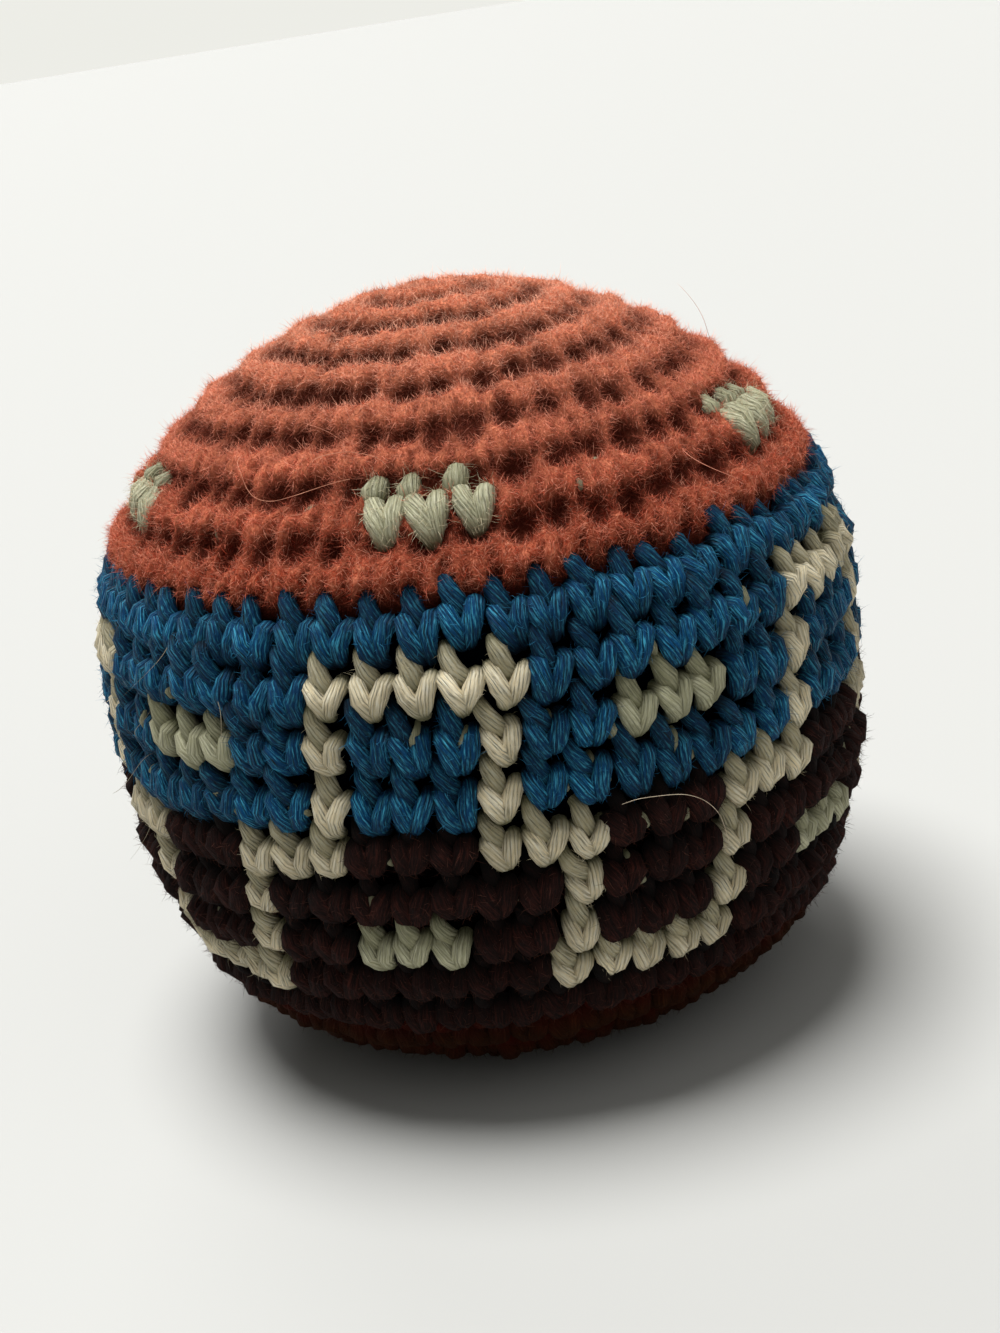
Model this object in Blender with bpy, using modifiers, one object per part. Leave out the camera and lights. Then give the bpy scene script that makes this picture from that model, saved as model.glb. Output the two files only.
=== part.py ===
# A crocheted footbag: a cover worked in four yarns, with a pouch of pellets inside.
# Metres, +Z up. The bag stands on its pressed base, and the crochet turns about +Z.

import math

import bmesh
import bpy
import numpy as np

# Cover, measured over the crests of its rounds
cover_radius = 0.03251
dome_height = 0.02655
base_depth = 0.03635
base_press = 0.0005
cover_wall = 0.0027
groove_depth = 0.0007
groove_fade = 0.0016

# Fullness of the outline: 2 is an ellipse, more is boxier
dome_fullness = 1.84
base_fullness = 3.18

# The crochet: where each yarn ends along the outline, and how many rounds and stitches there are
rust_dome_end_share = 0.352
blue_band_end_share = 0.5255
brown_band_end_share = 0.7195
yarn_rounds = {"rust_dome": 8, "blue_band": 4, "brown_band": 5, "rust_base": 7}
crest_start_share = 0.3
crest_end_share = 0.7
band_stitches = 60
dome_dash_stitches = 51
stitch_lean_angle = math.radians(1.45)

# Beige stitches, set in the cover with a gap all round
seam_gap = 0.0003
stitch_depth = 0.0015
stitch_puff = 0.0005
stitch_round = 0.0007
cutter_overrun = 0.001

# The colour pattern, in stitches and rounds of the band
pattern_repeat = 12
pattern_front_angle = math.radians(256)
pattern_front_column = 6
plateau_stitches = 5
step_stitches = 3
dash_stitches = 3
dash_front_angle = math.radians(265)
dash_groups = 5
dash_round = 6

# Pouch and filling
pouch_wall = 0.0005
neck_radius = 0.0035
neck_length = 0.0042
gather_share = 0.22
tie_thickness = 0.0012

# Facets
turn_steps = 40
inner_turn_steps = 24
tie_sides = 6
gather_points = 5
layer_points = 10
outline_samples = 1200
sharp_angle = math.radians(40)
merge_distance = 0.00001

yarn_names = list(yarn_rounds)

# Colours as seen, from 0 to 1
colours = {
    "rust_wool": (0.66, 0.30, 0.22),
    "blue_cotton": (0.08, 0.33, 0.53),
    "brown_wool": (0.17, 0.10, 0.09),
    "beige_cotton": (0.76, 0.71, 0.60),
    "pouch_cloth": (0.80, 0.78, 0.72),
    "tie_thread": (0.88, 0.87, 0.84),
    "pellets": (0.84, 0.84, 0.82),
}


def clear_scene():
    for obj in list(bpy.data.objects):
        bpy.data.objects.remove(obj)


def new_collection(name):
    collection = bpy.data.collections.new(name)
    bpy.context.scene.collection.children.link(collection)
    return collection


def linear(value):
    return value / 12.92 if value <= 0.04045 else ((value + 0.055) / 1.055) ** 2.4


def make_material(name, roughness):
    material = bpy.data.materials.new(name)
    material.use_nodes = True
    shader = material.node_tree.nodes["Principled BSDF"]
    shader.inputs["Base Color"].default_value = (*map(linear, colours[name]), 1)
    shader.inputs["Roughness"].default_value = roughness
    shader.inputs["Metallic"].default_value = 0
    return material


# The outline runs from the closed centre of the dome to the centre of the base
def trace_outline():
    turn = np.linspace(math.pi / 2, -math.pi / 2, outline_samples)
    across = np.clip(np.cos(turn), 0, 1)
    up = np.sin(turn)
    fullness = np.where(up > 0, dome_fullness, base_fullness)
    reach = (across**fullness + np.abs(up) ** fullness) ** (-1 / fullness)
    radii = cover_radius * reach * across
    heights = base_depth - base_press + np.where(up > 0, dome_height, base_depth) * reach * up
    way = np.concatenate([[0], np.cumsum(np.hypot(np.diff(radii), np.diff(heights)))])
    return radii, heights, way


outline_radii, outline_heights, outline_way = trace_outline()
outline_shares = outline_way / outline_way[-1]


def on_outline(share, inset=0.0):
    """The radius and height at a share of the outline, drawn in by inset and pressed flat below."""
    radius = np.interp(share, outline_shares, outline_radii)
    height = np.interp(share, outline_shares, outline_heights)
    run = np.interp(share, outline_shares, np.gradient(outline_radii, outline_way))
    rise = np.interp(share, outline_shares, np.gradient(outline_heights, outline_way))
    slope = math.hypot(run, rise)
    radius = max(radius + inset * rise / slope, 0.0)
    height = max(height - inset * run / slope, inset)
    return float(radius), float(height)


def round_edges(yarn):
    """The shares of the grooves that bound a yarn's rounds."""
    changes = [0, rust_dome_end_share, blue_band_end_share, brown_band_end_share, 1]
    place = yarn_names.index(yarn)
    return np.linspace(changes[place], changes[place + 1], yarn_rounds[yarn] + 1)


def yarn_ends(yarn):
    """The shares where a yarn starts and ends, with half of the seam's gap left at each end."""
    half_gap = seam_gap / 2 / outline_way[-1]
    edges = round_edges(yarn)
    start = edges[0] + half_gap if yarn != yarn_names[0] else 0
    end = edges[-1] - half_gap if yarn != yarn_names[-1] else 1
    return start, end


# Turned pieces: a profile, and a Screw modifier that turns it about the axis
def turned(name, points, closed, steps, material, collection):
    mesh = bpy.data.meshes.new(name)
    edges = [(i, i + 1) for i in range(len(points) - 1)]
    if closed:
        edges.append((len(points) - 1, 0))
    mesh.from_pydata([(radius, 0, height) for radius, height in points], edges, [])
    obj = bpy.data.objects.new(name, mesh)
    collection.objects.link(obj)
    obj.data.materials.append(material)
    screw = obj.modifiers.new("Turn", "SCREW")
    screw.steps = steps
    screw.render_steps = steps
    screw.use_smooth_shade = True
    screw.use_merge_vertices = True
    screw.merge_threshold = merge_distance
    return obj


def crested_side(yarn):
    """The outer side of a yarn's part of the cover: a low crest for each round, with grooves between."""
    start, end = yarn_ends(yarn)
    edges = round_edges(yarn)
    points = []
    for low, high in zip(edges[:-1], edges[1:]):
        points.append((low, groove_depth))
        for crest_share in (crest_start_share, crest_end_share):
            points.append((low + (high - low) * crest_share, 0.0))
    points.append((edges[-1], groove_depth))
    side = []
    for share, depth in points:
        share = min(max(share, start), end)
        height = on_outline(share)[1]
        depth *= min(height / groove_fade, 1.0) if share > start or start > 0 else 0.0
        side.append(on_outline(share, depth))
    return side


def press_points(side):
    """One flat face where the base is pressed: the points between its rim and its centre go."""
    flat = [point for point in side if point[1] <= merge_distance]
    if not flat:
        return side
    raised = [point for point in side if point[1] > merge_distance]
    rim = max(radius for radius, height in flat)
    return raised + [(rim, 0.0), (0.0, 0.0)]


def make_cover_part(yarn, material, collection):
    start, end = yarn_ends(yarn)
    outer = press_points(crested_side(yarn))
    inner = [on_outline(share, cover_wall) for share in np.linspace(end, start, yarn_rounds[yarn] + 1)]
    if yarn == yarn_names[0]:
        inner[-1] = (0.0, inner[-1][1])
    if yarn == yarn_names[-1]:
        inner[0] = (0.0, inner[0][1])
        points = inner + outer
    else:
        points = outer + inner
    is_ring = yarn not in (yarn_names[0], yarn_names[-1])
    return turned("cover_" + yarn, points, is_ring, turn_steps, material, collection)


# Pattern stitches: cells of a flat sheet, one to a stitch, laid on the cover
def bent_sheet(columns, rows, stitches, turn, edges, inset):
    """A sheet of stitch cells on the cover. rows and columns count cells, and edges holds the grooves."""
    bm = bmesh.new()
    bmesh.ops.create_grid(bm, x_segments=columns, y_segments=rows, size=1)
    for vert in bm.verts:
        column = (1 + vert.co.x) * columns / 2
        row = round((1 - vert.co.y) * rows / 2)
        radius, height = on_outline(edges[row], inset)
        angle = turn + column * math.tau / stitches - row * stitch_lean_angle
        vert.co = (radius * math.cos(angle), radius * math.sin(angle), height)
    bmesh.ops.remove_doubles(bm, verts=bm.verts, dist=merge_distance)
    return bm


def keep_cells(bm, cells, columns):
    """Keeps the faces whose column and row are in cells. A grid's faces run along its rows, from below."""
    bm.faces.ensure_lookup_table()
    rows = len(bm.faces) // columns
    spare = [
        face for face in bm.faces
        if (face.index % columns, rows - 1 - face.index // columns) not in cells
    ]
    bmesh.ops.delete(bm, geom=spare, context="FACES")


def add_object(name, bm, material, collection):
    bmesh.ops.recalc_face_normals(bm, faces=bm.faces)
    mesh = bpy.data.meshes.new(name)
    bm.to_mesh(mesh)
    bm.free()
    mesh.shade_smooth()
    mesh.set_sharp_from_angle(angle=sharp_angle)
    obj = bpy.data.objects.new(name, mesh)
    collection.objects.link(obj)
    if material:
        obj.data.materials.append(material)
    return obj


def thicken(bm, thickness):
    """Gives a bent sheet its thickness, inwards, and returns the faces that look out."""
    bmesh.ops.recalc_face_normals(bm, faces=bm.faces)
    outward = sum(face.normal.dot(face.calc_center_median()) for face in bm.faces)
    if outward < 0:
        bmesh.ops.reverse_faces(bm, faces=bm.faces)
    skin = bm.faces[:]
    bmesh.ops.solidify(bm, geom=skin, thickness=thickness)
    return skin


def make_stitches(name, cells, layout, material, collection, cutters):
    """A run of beige stitches, each with its own puff, and the cutter that makes room for it."""
    columns = layout["columns"]
    body = bent_sheet(inset=stitch_puff, **layout)
    keep_cells(body, cells, columns)
    rim = bmesh.ops.inset_region(
        body, faces=body.faces[:], thickness=seam_gap, use_even_offset=True, use_boundary=True
    )["faces"]
    bmesh.ops.delete(body, geom=rim, context="FACES")
    skin = thicken(body, stitch_depth - stitch_puff)
    bmesh.ops.inset_individual(
        body, faces=skin, thickness=stitch_round, depth=stitch_puff, use_even_offset=True
    )
    add_object(name, body, material, collection)
    cut = bent_sheet(inset=-cutter_overrun, **layout)
    keep_cells(cut, cells, columns)
    thicken(cut, cutter_overrun + stitch_depth + seam_gap)
    cutter = add_object(name + "_cutter", cut, None, cutters)
    cutter.hide_render = True
    cutter.display_type = "WIRE"


def stepped_cells():
    """The stepped line: a high plateau, a step down on each side, and a low plateau, round and round."""
    cells = set()
    middle = (pattern_rows() - 1) // 2
    plateau_end = plateau_stitches // 2
    step_end = plateau_end + step_stitches - 1
    for start in range(0, band_stitches, pattern_repeat):
        for row in range(pattern_rows()):
            near = far = plateau_end if row < middle else step_end
            if row == 0:
                near = 0
            if row == middle:
                near = plateau_end
            if row == pattern_rows() - 1:
                far = pattern_repeat // 2
            for step in range(near, far + 1):
                for side in (-1, 1):
                    column = start + pattern_front_column + side * step
                    cells.add((column % band_stitches, row))
    return cells


def pattern_rows():
    """The pattern leaves the first blue round and the last brown one plain."""
    return yarn_rounds["blue_band"] + yarn_rounds["brown_band"] - 2


def band_layout():
    edges = [*round_edges("blue_band")[1:-1], *round_edges("brown_band")[:-1]]
    step = math.tau / band_stitches
    middle_lean = stitch_lean_angle * pattern_rows() / 2
    turn = pattern_front_angle + middle_lean - (pattern_front_column + 0.5) * step
    return {"columns": band_stitches, "rows": pattern_rows(), "stitches": band_stitches,
            "turn": turn, "edges": edges}


def make_stepped_line(material, collection, cutters):
    make_stitches("stepped_line", stepped_cells(), band_layout(), material, collection, cutters)


def make_band_dashes(material, collection, cutters):
    """Three stitches side by side, in each bay above and below the stepped line."""
    bays = {"upper_dash": (0, 1), "lower_dash": (pattern_front_column, pattern_rows() - 2)}
    for name, (column, row) in bays.items():
        for group in range(band_stitches // pattern_repeat):
            first = column + group * pattern_repeat - dash_stitches // 2
            cells = {((first + step) % band_stitches, row) for step in range(dash_stitches)}
            make_stitches(f"{name}_{group + 1}", cells, band_layout(), material, collection, cutters)


def make_dome_dashes(material, collection, cutters):
    """Three stitches side by side, high on the dome, five times round."""
    edges = round_edges("rust_dome")[dash_round:dash_round + 2]
    dash_angle = dash_stitches * math.tau / dome_dash_stitches
    first = dash_front_angle + (stitch_lean_angle - dash_angle) / 2
    for group in range(dash_groups):
        turn = first + group * math.tau / dash_groups
        layout = {"columns": dash_stitches, "rows": 1, "stitches": dome_dash_stitches,
                  "turn": turn, "edges": edges}
        cells = {(column, 0) for column in range(dash_stitches)}
        make_stitches(f"dome_dash_{group + 1}", cells, layout, material, collection, cutters)


def cut_cover(parts, cutters):
    """The beige stitches sit in the cover's outer half; behind them the other yarns run on."""
    for part in parts:
        cut = part.modifiers.new("Stitches", "BOOLEAN")
        cut.operation = "DIFFERENCE"
        cut.operand_type = "COLLECTION"
        cut.collection = cutters
        cut.solver = "EXACT"


# Inside the cover: a thin pouch, gathered at a neck under the dome and tied, with the pellets in it
def layer_side(inset, shares):
    """One side of a layer inside the cover, which draws down around the neck."""
    side = []
    for share in shares:
        gather = max(1 - share / gather_share, 0.0) ** 2
        side.append(on_outline(share, inset + neck_length * gather))
    return side


def layer_shares(first):
    drawn = np.linspace(first, gather_share, gather_points)
    return np.concatenate([drawn, np.linspace(gather_share, 1, layer_points)[1:]])


def neck_share(inset):
    """Where the drawn-down layer comes as near to the axis as the neck."""
    shares = np.linspace(0, gather_share, outline_samples)
    radii = [radius for radius, height in layer_side(inset, shares)]
    return float(np.interp(neck_radius, radii, shares))


def flattened(side):
    """The side's last point on the axis, at the height of the flat that it ends on."""
    return side[:-1] + [(0.0, side[-1][1])]


def pouch_inset():
    return cover_wall + seam_gap


def neck_top():
    share = np.interp(neck_radius, outline_radii[:outline_samples // 2],
                      outline_shares[:outline_samples // 2])
    return on_outline(share, pouch_inset())[1]


def make_pouch(material, collection):
    first = neck_share(pouch_inset())
    outer = flattened(layer_side(pouch_inset(), layer_shares(first)))
    inner = flattened(layer_side(pouch_inset() + pouch_wall, layer_shares(first)))
    outer[0] = (neck_radius, outer[0][1])
    inner[0] = (neck_radius - pouch_wall, inner[0][1])
    mouth = [(neck_radius - pouch_wall, neck_top()), (neck_radius, neck_top())]
    points = inner[::-1] + mouth + outer
    return turned("pouch", points, False, inner_turn_steps, material, collection)


def make_tie(material, collection):
    shoulder = layer_side(pouch_inset(), [neck_share(pouch_inset())])[0][1]
    bpy.ops.mesh.primitive_torus_add(
        major_radius=neck_radius + seam_gap + tie_thickness / 2,
        minor_radius=tie_thickness / 2,
        major_segments=inner_turn_steps,
        minor_segments=tie_sides,
        location=(0, 0, (shoulder + neck_top()) / 2),
    )
    tie = bpy.context.object
    tie.name = "pouch_tie"
    tie.data.name = "pouch_tie"
    tie.data.shade_smooth()
    tie.data.materials.append(material)
    for home in list(tie.users_collection):
        home.objects.unlink(tie)
    collection.objects.link(tie)
    return tie


def make_filling(material, collection):
    inset = pouch_inset() + pouch_wall + seam_gap
    side = flattened(layer_side(inset, layer_shares(0.0)))
    side[0] = (0.0, side[0][1])
    return turned("pellet_filling", side, False, inner_turn_steps, material, collection)


def main():
    clear_scene()
    footbag = new_collection("footbag")
    cutters = new_collection("cutters")
    yarn_materials = {
        "rust_dome": make_material("rust_wool", 0.95),
        "blue_band": make_material("blue_cotton", 0.8),
        "brown_band": make_material("brown_wool", 0.95),
    }
    yarn_materials["rust_base"] = yarn_materials["rust_dome"]
    beige = make_material("beige_cotton", 0.8)
    parts = [make_cover_part(yarn, yarn_materials[yarn], footbag) for yarn in yarn_names]
    make_stepped_line(beige, footbag, cutters)
    make_band_dashes(beige, footbag, cutters)
    make_dome_dashes(beige, footbag, cutters)
    cut_cover(parts[:3], cutters)
    make_pouch(make_material("pouch_cloth", 0.9), footbag)
    make_tie(make_material("tie_thread", 0.8), footbag)
    make_filling(make_material("pellets", 0.5), footbag)


main()
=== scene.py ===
import math

import bmesh
import bpy
import numpy as np
from mathutils import Matrix, Vector, noise


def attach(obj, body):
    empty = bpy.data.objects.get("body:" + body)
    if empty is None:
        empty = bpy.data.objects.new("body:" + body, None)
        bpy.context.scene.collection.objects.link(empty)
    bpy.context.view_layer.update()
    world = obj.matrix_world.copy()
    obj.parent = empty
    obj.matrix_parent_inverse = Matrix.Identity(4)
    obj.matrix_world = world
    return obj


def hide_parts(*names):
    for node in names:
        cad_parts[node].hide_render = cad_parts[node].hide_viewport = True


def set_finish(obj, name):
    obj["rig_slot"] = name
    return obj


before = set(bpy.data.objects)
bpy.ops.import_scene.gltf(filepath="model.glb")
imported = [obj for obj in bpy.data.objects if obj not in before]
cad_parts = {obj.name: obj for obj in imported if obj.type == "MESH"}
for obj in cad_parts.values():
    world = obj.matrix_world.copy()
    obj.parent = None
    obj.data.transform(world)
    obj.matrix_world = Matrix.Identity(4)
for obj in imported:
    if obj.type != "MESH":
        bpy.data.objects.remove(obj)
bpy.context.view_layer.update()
print("frame loaded")

# The cover's outline over the crests of its rounds, from the centre of the dome to the centre of the base
coverShape = {
    "radius": 0.03251, "domeHeight": 0.02655, "baseDepth": 0.03635, "basePress": 0.0005,
    "domeFullness": 1.84, "baseFullness": 3.18, "steps": 2400,
}

# Where each yarn starts and ends along the outline, and the stitches in each of its rounds
yarnRounds = {
    "rustDome": (0.0, 0.352, [6, 13, 21, 29, 37, 45, 50, 55]),
    "blueBand": (0.352, 0.5255, [60, 60, 60, 60]),
    "brownBand": (0.5255, 0.7195, [60, 60, 60, 60, 60]),
    "rustBase": (0.7195, 1.0, [54, 48, 41, 33, 25, 16, 7]),
}

# The colour pattern, counted in stitches and rounds
colourPattern = {
    "repeat": 12, "frontAngle": math.radians(256), "frontColumn": 6, "roundLean": math.radians(1.45),
    "dashRound": 6, "dashStitches": 50, "dashGroups": 5, "dashLength": 3, "dashAngle": math.radians(265),
    "stitchLean": 0.24, "baseLean": 0.3, "upperDashRow": 1, "lowerDashRow": 5,
}
# How far from its middle the stepped line runs in each row of the pattern
steppedReach = [(0, 2), (2, 2), (2, 2), (2, 4), (4, 4), (4, 4), (4, 6)]


def traceOutline():
    turn = np.linspace(math.pi / 2, -math.pi / 2, coverShape["steps"])
    across = np.clip(np.cos(turn), 0, 1)
    up = np.sin(turn)
    fullness = np.where(up > 0, coverShape["domeFullness"], coverShape["baseFullness"])
    reach = (across**fullness + np.abs(up) ** fullness) ** (-1 / fullness)
    depth = np.where(up > 0, coverShape["domeHeight"], coverShape["baseDepth"])
    radii = coverShape["radius"] * reach * across
    heights = coverShape["baseDepth"] - coverShape["basePress"] + depth * reach * up
    way = np.concatenate([[0], np.cumsum(np.hypot(np.diff(radii), np.diff(heights)))])
    return way, radii, heights, np.gradient(radii, way), np.gradient(heights, way)


outlineWay, *outlineLines = traceOutline()


# A place on the cover: the point, the way out, the way round and the way up
def onCover(share, angle, inset=0.0):
    way = share * outlineWay[-1]
    radius, height, run, rise = (float(np.interp(way, outlineWay, line)) for line in outlineLines)
    steep = math.hypot(run, rise)
    out = Vector((-rise / steep, 0, run / steep))
    if height <= 0:
        height, out = 0.0, Vector((0, 0, -1))
    turn = Matrix.Rotation(angle, 3, "Z")
    point = turn @ (Vector((radius, 0, height)) - out * inset)
    outward, side = turn @ out, turn @ Vector((0, 1, 0))
    return point, outward, side, outward.cross(side)


def roundCentres(yarn):
    start, end, counts = yarnRounds[yarn]
    edges = np.linspace(start, end, len(counts) + 1)
    return list(zip((edges[:-1] + edges[1:]) / 2, counts)), (end - start) / len(counts)


# The pattern's rows are counted from the second blue round down
def patternRow(yarn, number):
    return number - 1 + (len(yarnRounds["blueBand"][2]) if yarn == "brownBand" else 0)


def fromColumn(column, middle):
    half = colourPattern["repeat"] // 2
    return abs((column - middle + half) % colourPattern["repeat"] - half)


def isStepped(column, row):
    if not 0 <= row < len(steppedReach):
        return False
    low, high = steppedReach[row]
    return low <= fromColumn(column, colourPattern["frontColumn"]) <= high


def isDash(column, row):
    middles = {colourPattern["upperDashRow"]: 0, colourPattern["lowerDashRow"]: colourPattern["repeat"] // 2}
    return row in middles and fromColumn(column, middles[row]) <= colourPattern["dashLength"] // 2


# The turn of a stitch on the dome and its width. Near the
# dashes the columns of neighbouring rounds stay in line
def domeTurn(number, column, count):
    pattern = colourPattern
    step = math.tau / count
    lean = (pattern["dashRound"] - number) * pattern["stitchLean"] * math.tau / pattern["dashStitches"]
    turn = pattern["dashAngle"] + lean + column * step
    if count % pattern["dashGroups"] or number < pattern["dashRound"] - 1:
        return turn, step
    inGroup = count / pattern["dashGroups"]
    spare = math.tau / pattern["dashStitches"] - step
    phase = math.tau * column / inGroup
    return turn + spare * inGroup / math.tau * math.sin(phase), step + spare * math.cos(phase)


def yarnAt(yarn, number, column):
    if yarn == "rustDome":
        spacing = colourPattern["dashStitches"] // colourPattern["dashGroups"]
        inDash = (column + 1) % spacing < colourPattern["dashLength"]
        return "domeDashes" if inDash and number == colourPattern["dashRound"] else yarn
    if yarn == "rustBase":
        return yarn
    row = patternRow(yarn, number)
    return "stepped" if isStepped(column, row) else "dashes" if isDash(column, row) else yarn


# A hand never works quite evenly. The carried yarn shows at some of the stitches, with these chances
handwork = {
    "roundWave": 0.0001, "wavesInRound": (2, 5, 9), "columnWave": 0.0002, "dashShare": 0.25,
    "leastRadius": 0.004, "firstShare": 0.012, "lastShare": 0.985, "notchChance": 0.35, "sideChance": 0.45,
    "besideDash": (3, 4, 7), "seed": 5,
}


def carriedShows(yarn, number, column):
    if yarn == "rustDome":
        spacing = colourPattern["dashStitches"] // colourPattern["dashGroups"]
        return number == colourPattern["dashRound"] and column % spacing in handwork["besideDash"]
    return yarn != "rustBase" and 0 <= patternRow(yarn, number) < len(steppedReach)


# One seat for each stitch, sorted by the yarn that shows there
def laySeats():
    chance = np.random.default_rng(handwork["seed"])
    seats = {kind: [] for kind in [*yarnRounds, "stepped", "dashes", "domeDashes", *carriedLines]}
    middle = colourPattern["frontAngle"] + colourPattern["roundLean"] * len(steppedReach) / 2
    for yarn in yarnRounds:
        centres, pitchShare = roundCentres(yarn)
        for number, (share, count) in enumerate(centres):
            waves = chance.uniform(0, math.tau, len(handwork["wavesInRound"]))
            for column in range(count):
                step = math.tau / count
                if yarn == "rustDome":
                    turn, step = domeTurn(number, column, count)
                elif yarn == "rustBase":
                    turn = (column + colourPattern["baseLean"] * number) * step
                else:
                    turn = middle + (column - colourPattern["frontColumn"]) * step
                    turn -= (patternRow(yarn, number) + 0.5) * colourPattern["roundLean"]
                kind = yarnAt(yarn, number, column)
                swings = zip(handwork["wavesInRound"], waves)
                wave = sum(math.sin(turn * times + start) for times, start in swings)
                along = share + handwork["roundWave"] * wave / outlineWay[-1]
                along = min(max(along, handwork["firstShare"]), handwork["lastShare"])
                radius = onCover(share, turn)[0].to_2d().length
                shift = handwork["columnWave"] * chance.uniform(-1, 1) / max(radius, handwork["leastRadius"])
                if kind == "domeDashes":
                    shift *= handwork["dashShare"]
                seat = (along, turn + shift, step * radius, pitchShare * outlineWay[-1])
                seats[kind].append(seat)
                if kind == yarn and carriedShows(yarn, number, column):
                    if chance.random() < handwork["notchChance"]:
                        seats["carriedNotchYarn"].append(seat)
                    if chance.random() < handwork["sideChance"]:
                        seats["carriedSideYarn"].append(seat)
    return seats


millimetre = 0.001


def addLayer(mesh, label, values):
    isVector = np.ndim(values) == 2
    layer = mesh.attributes.new(label, "FLOAT_VECTOR" if isVector else "FLOAT", "POINT")
    layer.data.foreach_set("vector" if isVector else "value", np.array(values, np.float32).ravel())


# A mesh of bare points, with the way out, the way round and the room that each stitch has
def seatMesh(name, places):
    spots = [onCover(share, turn)[:3] for share, turn, width, pitch in places]
    mesh = bpy.data.meshes.new(name)
    mesh.from_pydata([spot[0] for spot in spots], [], [])
    addLayer(mesh, "out", [spot[1] for spot in spots])
    addLayer(mesh, "side", [spot[2] for spot in spots])
    addLayer(mesh, "room", [(width, pitch, millimetre) for share, turn, width, pitch in places])
    return mesh


def linked(name, data):
    obj = bpy.data.objects.new(name, data)
    bpy.context.scene.collection.objects.link(obj)
    return obj


# Lines of points with a thickness each. Across is in stitches, up is in rounds, out is in millimetres
stitchLines = {
    "leftLeg": [
        (0.09, -0.37, -2.4, 0.66), (0.075, -0.325, -1.75, 0.78), (0.03, -0.23, -1.18, 0.88),
        (-0.10, -0.06, -0.80, 0.92), (-0.22, 0.09, -0.70, 0.90), (-0.29, 0.19, -0.94, 0.86),
        (-0.32, 0.24, -1.5, 0.82), (-0.31, 0.25, -2.2, 0.75),
    ],
    "rightLeg": [
        (0.16, -0.35, -2.4, 0.64), (0.165, -0.31, -1.8, 0.74), (0.175, -0.21, -1.26, 0.84),
        (0.215, -0.05, -0.88, 0.88), (0.265, 0.10, -0.76, 0.88), (0.30, 0.20, -1.00, 0.85),
        (0.315, 0.25, -1.55, 0.82), (0.30, 0.26, -2.2, 0.75),
    ],
    "frontLoop": [
        (0.05, 0.02, -2.2, 0.90), (-0.01, 0.17, -1.62, 1.04), (-0.12, 0.35, -1.36, 1.04),
        (-0.24, 0.52, -1.28, 0.94), (-0.35, 0.68, -1.42, 0.78), (-0.43, 0.81, -2.0, 0.58),
    ],
}

# The blue stitches are broad at the foot, so that they run together
blueLines = {
    "leftLeg": [
        (0.02, -0.37, -2.4, 0.74), (0.00, -0.325, -1.75, 0.86), (-0.05, -0.23, -1.16, 0.96),
        (-0.15, -0.06, -0.82, 1.00), (-0.24, 0.09, -0.74, 0.98), (-0.30, 0.19, -0.97, 0.94),
        (-0.32, 0.24, -1.5, 0.88), (-0.31, 0.25, -2.2, 0.8),
    ],
    "rightLeg": [
        (0.20, -0.35, -2.4, 0.72), (0.20, -0.31, -1.8, 0.84), (0.205, -0.21, -1.26, 0.94),
        (0.235, -0.05, -0.90, 0.97), (0.275, 0.10, -0.80, 0.96), (0.305, 0.20, -1.03, 0.93),
        (0.315, 0.25, -1.6, 0.88), (0.30, 0.26, -2.2, 0.8),
    ],
    "frontLoop": [
        (0.02, 0.02, -2.2, 0.95), (-0.05, 0.17, -1.60, 1.06), (-0.16, 0.35, -1.30, 1.04),
        (-0.27, 0.52, -1.22, 0.98), (-0.37, 0.68, -1.36, 0.84), (-0.45, 0.81, -1.95, 0.66),
    ],
}

# A dash stitch on the dome has a short, leaf-shaped front loop
domeDashLines = {
    "leftLeg": [
        (0.13, -0.44, -2.2, 0.50), (0.09, -0.37, -1.30, 0.68), (0.00, -0.24, -0.94, 0.90),
        (-0.14, -0.06, -0.76, 1.04), (-0.25, 0.09, -0.72, 1.06), (-0.30, 0.185, -0.98, 1.0),
        (-0.32, 0.235, -1.6, 0.92), (-0.30, 0.24, -2.2, 0.8),
    ],
    "rightLeg": [
        (0.23, -0.42, -2.2, 0.50), (0.225, -0.35, -1.35, 0.66), (0.235, -0.22, -1.00, 0.88),
        (0.245, -0.05, -0.82, 1.00), (0.27, 0.10, -0.78, 1.02), (0.30, 0.195, -1.04, 0.97),
        (0.31, 0.245, -1.65, 0.9), (0.29, 0.25, -2.2, 0.8),
    ],
    "frontLoop": [
        (-0.44, 0.18, -2.3, 0.65), (-0.45, 0.30, -1.5, 0.90), (-0.43, 0.42, -1.15, 1.08),
        (-0.38, 0.54, -1.15, 1.0), (-0.33, 0.64, -1.5, 0.75), (-0.30, 0.72, -2.2, 0.45),
    ],
}

# Wool fills out across
woolLines = {
    "leftLeg": [
        (0.02, -0.25, -2.3, 0.76), (0.00, -0.21, -1.65, 0.86), (-0.06, -0.13, -1.08, 0.96),
        (-0.14, 0.00, -0.82, 1.04), (-0.215, 0.12, -0.80, 1.08), (-0.27, 0.21, -1.05, 1.04),
        (-0.29, 0.265, -1.6, 0.96), (-0.26, 0.27, -2.2, 0.85),
    ],
    "rightLeg": [
        (0.13, -0.24, -2.3, 0.76), (0.135, -0.20, -1.7, 0.84), (0.155, -0.11, -1.12, 0.94),
        (0.185, 0.01, -0.86, 1.02), (0.23, 0.13, -0.84, 1.05), (0.26, 0.22, -1.08, 1.02),
        (0.265, 0.27, -1.65, 0.95), (0.235, 0.28, -2.2, 0.85),
    ],
    "frontLoop": [
        (0.05, 0.05, -2.4, 0.75), (0.00, 0.22, -1.85, 0.74), (-0.09, 0.42, -1.55, 0.72),
        (-0.17, 0.60, -1.50, 0.70), (-0.25, 0.76, -1.75, 0.66), (-0.30, 0.85, -2.4, 0.60),
    ],
}

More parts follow.
